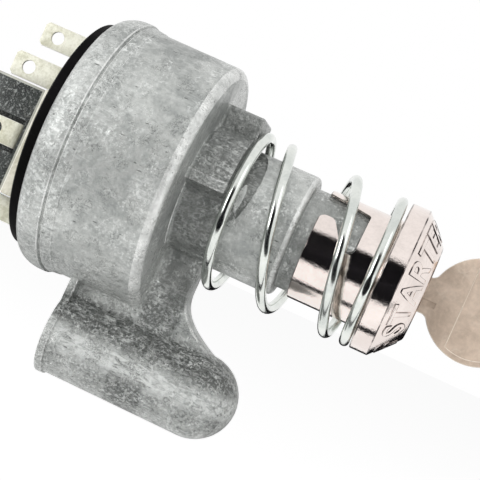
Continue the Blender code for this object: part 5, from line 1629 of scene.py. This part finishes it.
@dataclass
class Ferrule:
    """The chromed ferrule: sleeve, J slots, band and lettered cone."""

    sleeve_end: float = 19.2 * MM
    bore: float = 13.7 * MM
    outer: float = 14.6 * MM
    flange: float = 19.6 * MM
    flange_front: float = -4.8 * MM
    face_radius: float = 12.4 * MM
    face_y: float = -11.4 * MM
    opening: float = 10.5 * MM
    step: float = -3.5 * MM
    slot_middle: float = 29.0
    slot_angles: tuple[float, ...] = (3.0, 31.5, 55.0, 68.0)
    slot_front: float = 7.7 * MM
    slot_rear: float = 11.1 * MM
    seat_round: float = 1.65 * MM
    tongue_round: float = 1.85 * MM
    letter_height: float = 6.0 * MM
    letter_raise: float = 0.10 * MM
    font_share: float = 1.42
    words: tuple[tuple[str, float], ...] = (
        ("STARTER", 15.0), ("ON", 112.0), ("ACC", 196.0), ("OFF", 268.0))

    def slot_cutter(self, turn: float) -> bpy.types.Object:
        """Make the cutter of one J slot.

        Args:
            turn: degrees that the slot is turned about the barrel.

        Returns:
            The cutter.
        """
        middle, radius, rear = self.slot_middle, (self.bore + self.outer) / 2.0, self.sleeve_end

        def across(angle: float) -> float:
            """Return how far off the middle an angle lies."""
            return radius * math.sin((angle - middle) * DEG)

        seat, tongue, far, mouth = (across(angle) for angle in self.slot_angles)
        lead = tongue - 2.85 * MM
        outline, _ = trace([
            (self.slot_front, seat, self.seat_round), (self.slot_front, far, 0.8 * MM),
            (rear + MM, mouth, 0.0), (rear + MM, lead, 0.0), (rear, lead, 0.0),
            (rear, tongue, self.tongue_round), (rear - 3.8 * MM, tongue, self.tongue_round),
            (self.slot_rear, seat, self.seat_round)])
        depth = 8.0 * MM
        place = outward(middle + turn, self.outer + MM - depth / 2.0)
        return plate("slot_cutter", [outline], depth, place)

    def lettering(self) -> list[bpy.types.Object]:
        """Raise the words on the cone.

        Returns:
            One mesh for each word.
        """
        rear_r, front_r = self.flange - 0.4 * MM, self.face_radius
        rear_y, front_y = self.flange_front, self.face_y + 0.5 * MM
        along = Vector((rear_r - front_r, rear_y - front_y))
        slant = along.length
        along.normalize()
        made = []
        for word, centre in self.words:
            text = bpy.data.curves.new(word, "FONT")
            text.body = word
            text.size = self.letter_height * self.font_share
            text.align_x = "CENTER"
            text.extrude = 0.26 * MM
            text.bevel_depth = 0.16 * MM
            text.bevel_resolution = 1
            text.offset = 0.09 * MM
            text.space_character = 1.06
            text.resolution_u = 6
            work = filled(word, text)
            work.normal_update()
            for face in work.faces:
                # the letters' flanks are marked as edges, where chrome's edge colour paints a dark
                # reflection
                face.material_index = int(abs(face.normal.z) < 0.95)
            long = [edge for edge in work.edges if edge.calc_length() > 1.2 * MM]
            bmesh.ops.subdivide_edges(work, edges=long, cuts=2)
            low = (slant - self.letter_height) / 2.0
            for vert in work.verts:
                s, lift = low + vert.co.y, vert.co.z + self.letter_raise
                r = front_r + along.x * s + along.y * lift
                y = front_y + along.y * s - along.x * lift
                a = centre * DEG + vert.co.x / ((rear_r + front_r) / 2.0)
                vert.co = (-r * math.cos(a), y, r * math.sin(a))
            bmesh.ops.recalc_face_normals(work, faces=work.faces)
            made.append(mesh_object(word, work))
        return made

    def build(self, shop: Workshop) -> None:
        """Turn the ferrule, cut its slots and add the lettering.

        Args:
            shop: the workshop that finishes it.
        """
        ring = turned("ring", [
            (self.outer, self.sleeve_end, 0.2 * MM), (self.outer, 0.0, -0.3 * MM),
            (self.flange, 0.0, 0.35 * MM), (self.flange, self.flange_front, 0.45 * MM),
            (self.face_radius, self.face_y + 0.1 * MM, 1.1 * MM),
            (self.opening + 0.2 * MM, self.face_y, 0.3 * MM), (self.opening, self.step, 0.0),
            (self.bore, self.step, 0.0), (self.bore, self.sleeve_end, 0.2 * MM)], 192)
        unite(ring, [self.slot_cutter(0.0), self.slot_cutter(180.0)], "DIFFERENCE")
        shop.hand_over(join("ferrule_chromed", [ring, *self.lettering()]), Palette.CHROME, Body.FERRULE,
                       ("ferrule",), 30.0)


@dataclass
class SwitchKey:
    """The flat key with its raised rim, stepped bow and cut blade."""

    thickness: float = 2.3 * MM
    shoulder: float = -10.9 * MM
    tip: float = 16.0 * MM
    bow_y: float = -25.83 * MM
    bow_z: float = 1.5 * MM
    bow_radius: float = 13.4 * MM
    neck: float = 4.6 * MM
    blade: float = 4.0 * MM
    first_cut: float = 2.7 * MM
    cut_pitch: float = 2.4 * MM
    cut_flat: float = 0.55 * MM
    rim: float = 1.3 * MM
    sink: float = 0.45 * MM
    groove: float = 0.5 * MM
    hole_back: float = 7.3 * MM
    hole_radius: float = 4.1 * MM
    cuts: tuple[float, ...] = (0.9 * MM, 1.7 * MM, 1.2 * MM, 2.0 * MM, 1.4 * MM)

    def outline(self) -> list[Point]:
        """Return the key's outline in the side plane.

        Returns:
            The points from the tip round the bow.
        """
        fillet = 2.0 * MM
        bow, reach = (self.bow_y, self.bow_z), self.bow_radius + fillet
        top_y = bow[0] + math.sqrt(reach ** 2 - (self.neck + fillet - bow[1]) ** 2)
        low_y = bow[0] + math.sqrt(reach ** 2 - (-self.neck - fillet - bow[1]) ** 2)
        top = math.degrees(math.atan2(self.neck + fillet - bow[1], top_y - bow[0]))
        low = math.degrees(math.atan2(-self.neck - fillet - bow[1], low_y - bow[0]))
        slope = self.tip - 2.2 * MM
        line = [(self.tip, -0.4 * MM), (self.tip, 0.4 * MM), (slope, self.blade)]
        for i in reversed(range(len(self.cuts))):
            centre, floor = self.first_cut + i * self.cut_pitch, self.blade - self.cuts[i]
            ramp = self.cut_flat + self.cuts[i] * 0.35
            line += [(centre + ramp, self.blade), (centre + self.cut_flat, floor),
                     (centre - self.cut_flat, floor), (centre - ramp, self.blade)]
        line += [(self.shoulder, self.blade), (self.shoulder, self.neck)]
        line += arc((top_y, self.neck + fillet), fillet, -90.0, -180.0 + top, 8)
        line += arc(bow, self.bow_radius, top, 360.0 + low, 96)[1:-1]
        line += arc((low_y, -self.neck - fillet), fillet, 180.0 + low, 90.0, 8)
        line += [(self.shoulder, -self.neck), (self.shoulder, -self.blade), (slope, -self.blade)]
        return line

    def build(self, shop: Workshop) -> None:
        """Cut the key, sink its bow and mill its grooves.

        Args:
            shop: the workshop that finishes it.
        """
        hole = arc((self.bow_y - self.hole_back, self.bow_z), self.hole_radius, 0.0, 360.0, 48)[:-1]
        key = plate("blank", [self.outline(), hole], self.thickness, Plane.SIDE.value, 0.18 * MM)
        radius = self.bow_radius - self.rim
        angle = math.degrees(math.acos(self.neck / radius))
        sunk = arc((self.bow_y, self.bow_z), radius, angle, 360.0 - angle, 72)
        cutters = []
        for side in (-1.0, 1.0):
            face, depth = side * self.thickness / 2.0, MM
            middle = face + side * (depth / 2.0 - self.sink)
            place = Matrix.Translation((middle, 0.0, 0.0)) @ Plane.SIDE.value
            cutters.append(plate("sink", [sunk], depth, place, 0.2 * MM))
            low, high = sorted((face - side * self.groove, face + side * depth))
            cutters.append(box("groove", (low, -15.2 * MM, -2.35 * MM), (high, 17.0 * MM, -0.85 * MM)))
        unite(key, cutters, "DIFFERENCE")
        key.name = "key_cut"
        shop.hand_over(key, Palette.KEY, Body.KEY, ("key",), 30.0)


@dataclass(frozen=True)
class Lamp:
    """One soft round lamp, placed by the camera's own directions.

    side, rise and near are its shares to the camera's right, upwards and
    towards the camera. Sizes are metres and power is watts. Polished metal
    shows it only where mirrored is set.
    """

    name: str
    side: float
    rise: float
    near: float
    distance: float
    size: float
    power: float
    mirrored: bool = True


@dataclass(frozen=True)
class Card:
    """A black card that only polished metal reflects.

    offset is its middle from the camera's target, over the direction of its
    height. Its width lies along the barrel.
    """

    name: str
    offset: Place
    over: Place
    height: float
    width: float = 0.9


@dataclass
class Studio:
    """The camera, lamps, cards, world and floor."""

    target: Place = (0.0, 0.03598, -0.00648)
    azimuth: float = -82.2
    elevation: float = 0.0
    roll: float = 24.34
    distance: float = 0.3
    pixels_per_mm: float = 3.951
    picture: float = 480.0
    sensor: float = 36.0
    floor_z: float = -0.13
    floor_size: float = 3.0
    floor_glow: float = 0.52
    paper: Colour = (0.9, 0.9, 0.9)
    black: Colour = (0.012, 0.012, 0.014)
    sky: float = 0.48
    lamps: tuple[Lamp, ...] = (
        Lamp("key lamp", -0.60, 0.36, 0.70, 1.0, 0.5, 3.0),
        Lamp("fill lamp", 0.75, 0.35, 0.60, 1.1, 0.7, 0.9),
        Lamp("front lamp", 0.0, 0.14, 0.99, 1.0, 0.4, 3.6, False),
    )
    cards: tuple[Card, ...] = (
        Card("camera card", (-0.75, 0.0, 0.13), (0.0, 0.0, 1.0), 0.50),
        Card("front card", (-0.47, 0.0, -0.115), (1.0, 0.0, 0.0), 0.62),
        Card("narrow card", (-0.014, 0.0, -0.115), (1.0, 0.0, 0.0), 0.022),
        Card("rear card", (0.70, 0.0, -0.115), (1.0, 0.0, 0.0), 1.0),
    )

    def axes(self) -> tuple[Vector, Vector, Vector]:
        """Return the camera's right, up and back directions.

        Returns:
            The three unit vectors.
        """
        a, e, r = self.azimuth * DEG, self.elevation * DEG, self.roll * DEG
        back = Vector((math.sin(a) * math.cos(e), -math.cos(a) * math.cos(e), math.sin(e)))
        right = Vector((0.0, 0.0, 1.0)).cross(back).normalized()
        up = back.cross(right)
        return right * math.cos(r) + up * math.sin(r), up * math.cos(r) - right * math.sin(r), back

    def camera(self) -> None:
        """Place the camera at the photograph's side of the switch."""
        data = bpy.data.cameras.new("view")
        data.sensor_width = self.sensor
        data.lens = self.pixels_per_mm * self.sensor * (self.distance / MM) / self.picture
        data.clip_start = 0.01
        data.dof.use_dof = False
        camera = bpy.data.objects.new("view", data)
        bpy.context.scene.collection.objects.link(camera)
        right, up, back = self.axes()
        matrix = Matrix.Identity(4)
        for row in range(3):
            matrix[row][0], matrix[row][1], matrix[row][2] = right[row], up[row], back[row]
            matrix[row][3] = self.target[row] + back[row] * self.distance
        camera.matrix_world = matrix
        bpy.context.scene.camera = camera

    def hang(self, lamp: Lamp) -> None:
        """Hang one lamp and aim it at the target.

        Args:
            lamp: its place, size and power.
        """
        right, up, back = self.axes()
        aim = (right * lamp.side + up * lamp.rise + back * lamp.near).normalized()
        data = bpy.data.lights.new(lamp.name, "AREA")
        data.shape = "DISK"
        data.size = lamp.size
        data.energy = lamp.power
        hung = bpy.data.objects.new(lamp.name, data)
        hung.visible_glossy = lamp.mirrored
        bpy.context.scene.collection.objects.link(hung)
        turn = aim.to_track_quat("Z", "Y").to_matrix().to_4x4()
        hung.matrix_world = Matrix.Translation(Vector(self.target) + aim * lamp.distance) @ turn

    def world(self) -> None:
        """Make a dim world that camera, glossy and transmission rays see as white."""
        world = bpy.data.worlds.new("studio")
        bpy.context.scene.world = world
        world.use_nodes = True
        world.node_tree.nodes.clear()
        g = Graph(world.node_tree)
        strength = g.span(g.seen(), 0.0, 1.0, self.sky, 1.0)
        sky = g.node("ShaderNodeBackground", {"Color": (1.0, 1.0, 1.0, 1.0), "Strength": strength})
        out = g.node("ShaderNodeOutputWorld")
        world.node_tree.links.new(sky.outputs[0], out.inputs[0])

    @staticmethod
    def sheet(name: str, half: float, colour: Colour) -> tuple[bpy.types.Object, bpy.types.Material]:
        """Make a flat square with a matt colour.

        Args:
            name: the object's name, also its material's.
            half: half its width.
            colour: its colour.

        Returns:
            The square and its material.
        """
        work = bmesh.new()
        bmesh.ops.create_grid(work, x_segments=1, y_segments=1, size=half)
        made = bpy.data.materials.new(name)
        made.use_nodes = True
        shader = made.node_tree.nodes["Principled BSDF"]
        shader.inputs["Base Color"].default_value = (*colour, 1.0)
        shader.inputs["Roughness"].default_value = 1.0
        shader.inputs["Specular IOR Level"].default_value = 0.0
        square = mesh_object(name, work)
        square.data.materials.clear()
        square.data.materials.append(made)
        return square, made

    def floor(self) -> None:
        """Lay a pale floor that glows a little for the camera and keeps the shadow."""
        floor, made = self.sheet("floor", self.floor_size, self.paper)
        floor.data.transform(Matrix.Translation((0.0, 0.0, self.floor_z)))
        g = Graph(made.node_tree)
        glow = g.node("ShaderNodeEmission", {
            "Color": (1.0, 1.0, 1.0, 1.0), "Strength": g.product(g.seen(), self.floor_glow)})
        shader = made.node_tree.nodes["Principled BSDF"]
        mixed = g.node("ShaderNodeAddShader", {0: shader.outputs[0], 1: glow.outputs[0]})
        out = made.node_tree.nodes["Material Output"]
        made.node_tree.links.new(mixed.outputs[0], out.inputs[0])

    def screen(self, card: Card) -> None:
        """Set up one black card.

        Args:
            card: its place and size.
        """
        black, _ = self.sheet(card.name, 0.5, self.black)
        middle, over = Vector(self.target) + Vector(card.offset), Vector(card.over)
        for vert in black.data.vertices:
            vert.co = middle + Vector((0.0, vert.co.x * card.width, 0.0)) + over * (vert.co.y * card.height)
        black.visible_camera = False
        black.visible_diffuse = False
        black.visible_shadow = False
        black.visible_transmission = False

    def build(self) -> None:
        """Set up the whole studio."""
        bpy.context.scene.view_settings.view_transform = "Standard"
        self.camera()
        self.world()
        self.floor()
        for lamp in self.lamps:
            self.hang(lamp)
        for card in self.cards:
            self.screen(card)


INNER: tuple[tuple[str, Finish, Body, str], ...] = (
    ("lock_plug", Palette.PLUG, Body.CYLINDER, "plug_metal"),
    *((f"wafer_{i}", Palette.BRASS, Body.CYLINDER, "brass") for i in range(1, 6)),
    ("drive_shaft", Palette.PLUG, Body.CYLINDER, "plug_metal"),
    ("return_spring", Palette.STEEL, Body.CYLINDER, "spring_steel"),
    ("contact_carrier", Palette.BROWN, Body.CYLINDER, "brown_moulding"),
    *((f"detent_ball_{i}", Palette.STEEL, Body.CYLINDER, "spring_steel") for i in (1, 2)),
    *((f"detent_spring_{i}", Palette.STEEL, Body.CYLINDER, "spring_steel") for i in (1, 2)),
    ("contact_spring", Palette.STEEL, Body.CYLINDER, "spring_steel"),
    ("contact_bridge", Palette.COPPER, Body.CYLINDER, "copper"),
    ("plug_clip", Palette.STEEL, Body.SWITCH, "spring_steel"),
    *((f"contact_rivet_{i}", Palette.COPPER, Body.SWITCH, "copper") for i in range(1, 5)),
)


def main() -> None:
    """Load the frame, dress every piece and set up the studio."""
    logging.basicConfig(level=logging.INFO, format="%(name)s %(message)s")
    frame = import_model()
    shop = Workshop(frame, Palette(Effects()))
    Studio().build()
    Casting().build(shop)
    TerminalBoard().build(shop)
    for terminal in TERMINALS:
        terminal.build(shop)
    coil = Coil("ferrule_coil", radius=18.65 * MM, wire=2.7 * MM, turns=4.0, rear=39.55 * MM,
                front=1.65 * MM, flat=0.4, ramps=(0.9, 1.2), start=-90.0, flare=1.4 * MM, lean=1.8 * MM)
    coil.build(shop, Palette.WIRE, Body.SWITCH, "plated_wire", "ferrule_spring")
    Ferrule().build(shop)
    SwitchKey().build(shop)
    for node, finish, body, slot in INNER:
        shop.refine(node, finish, body)


if __name__ == "__main__":
    main()
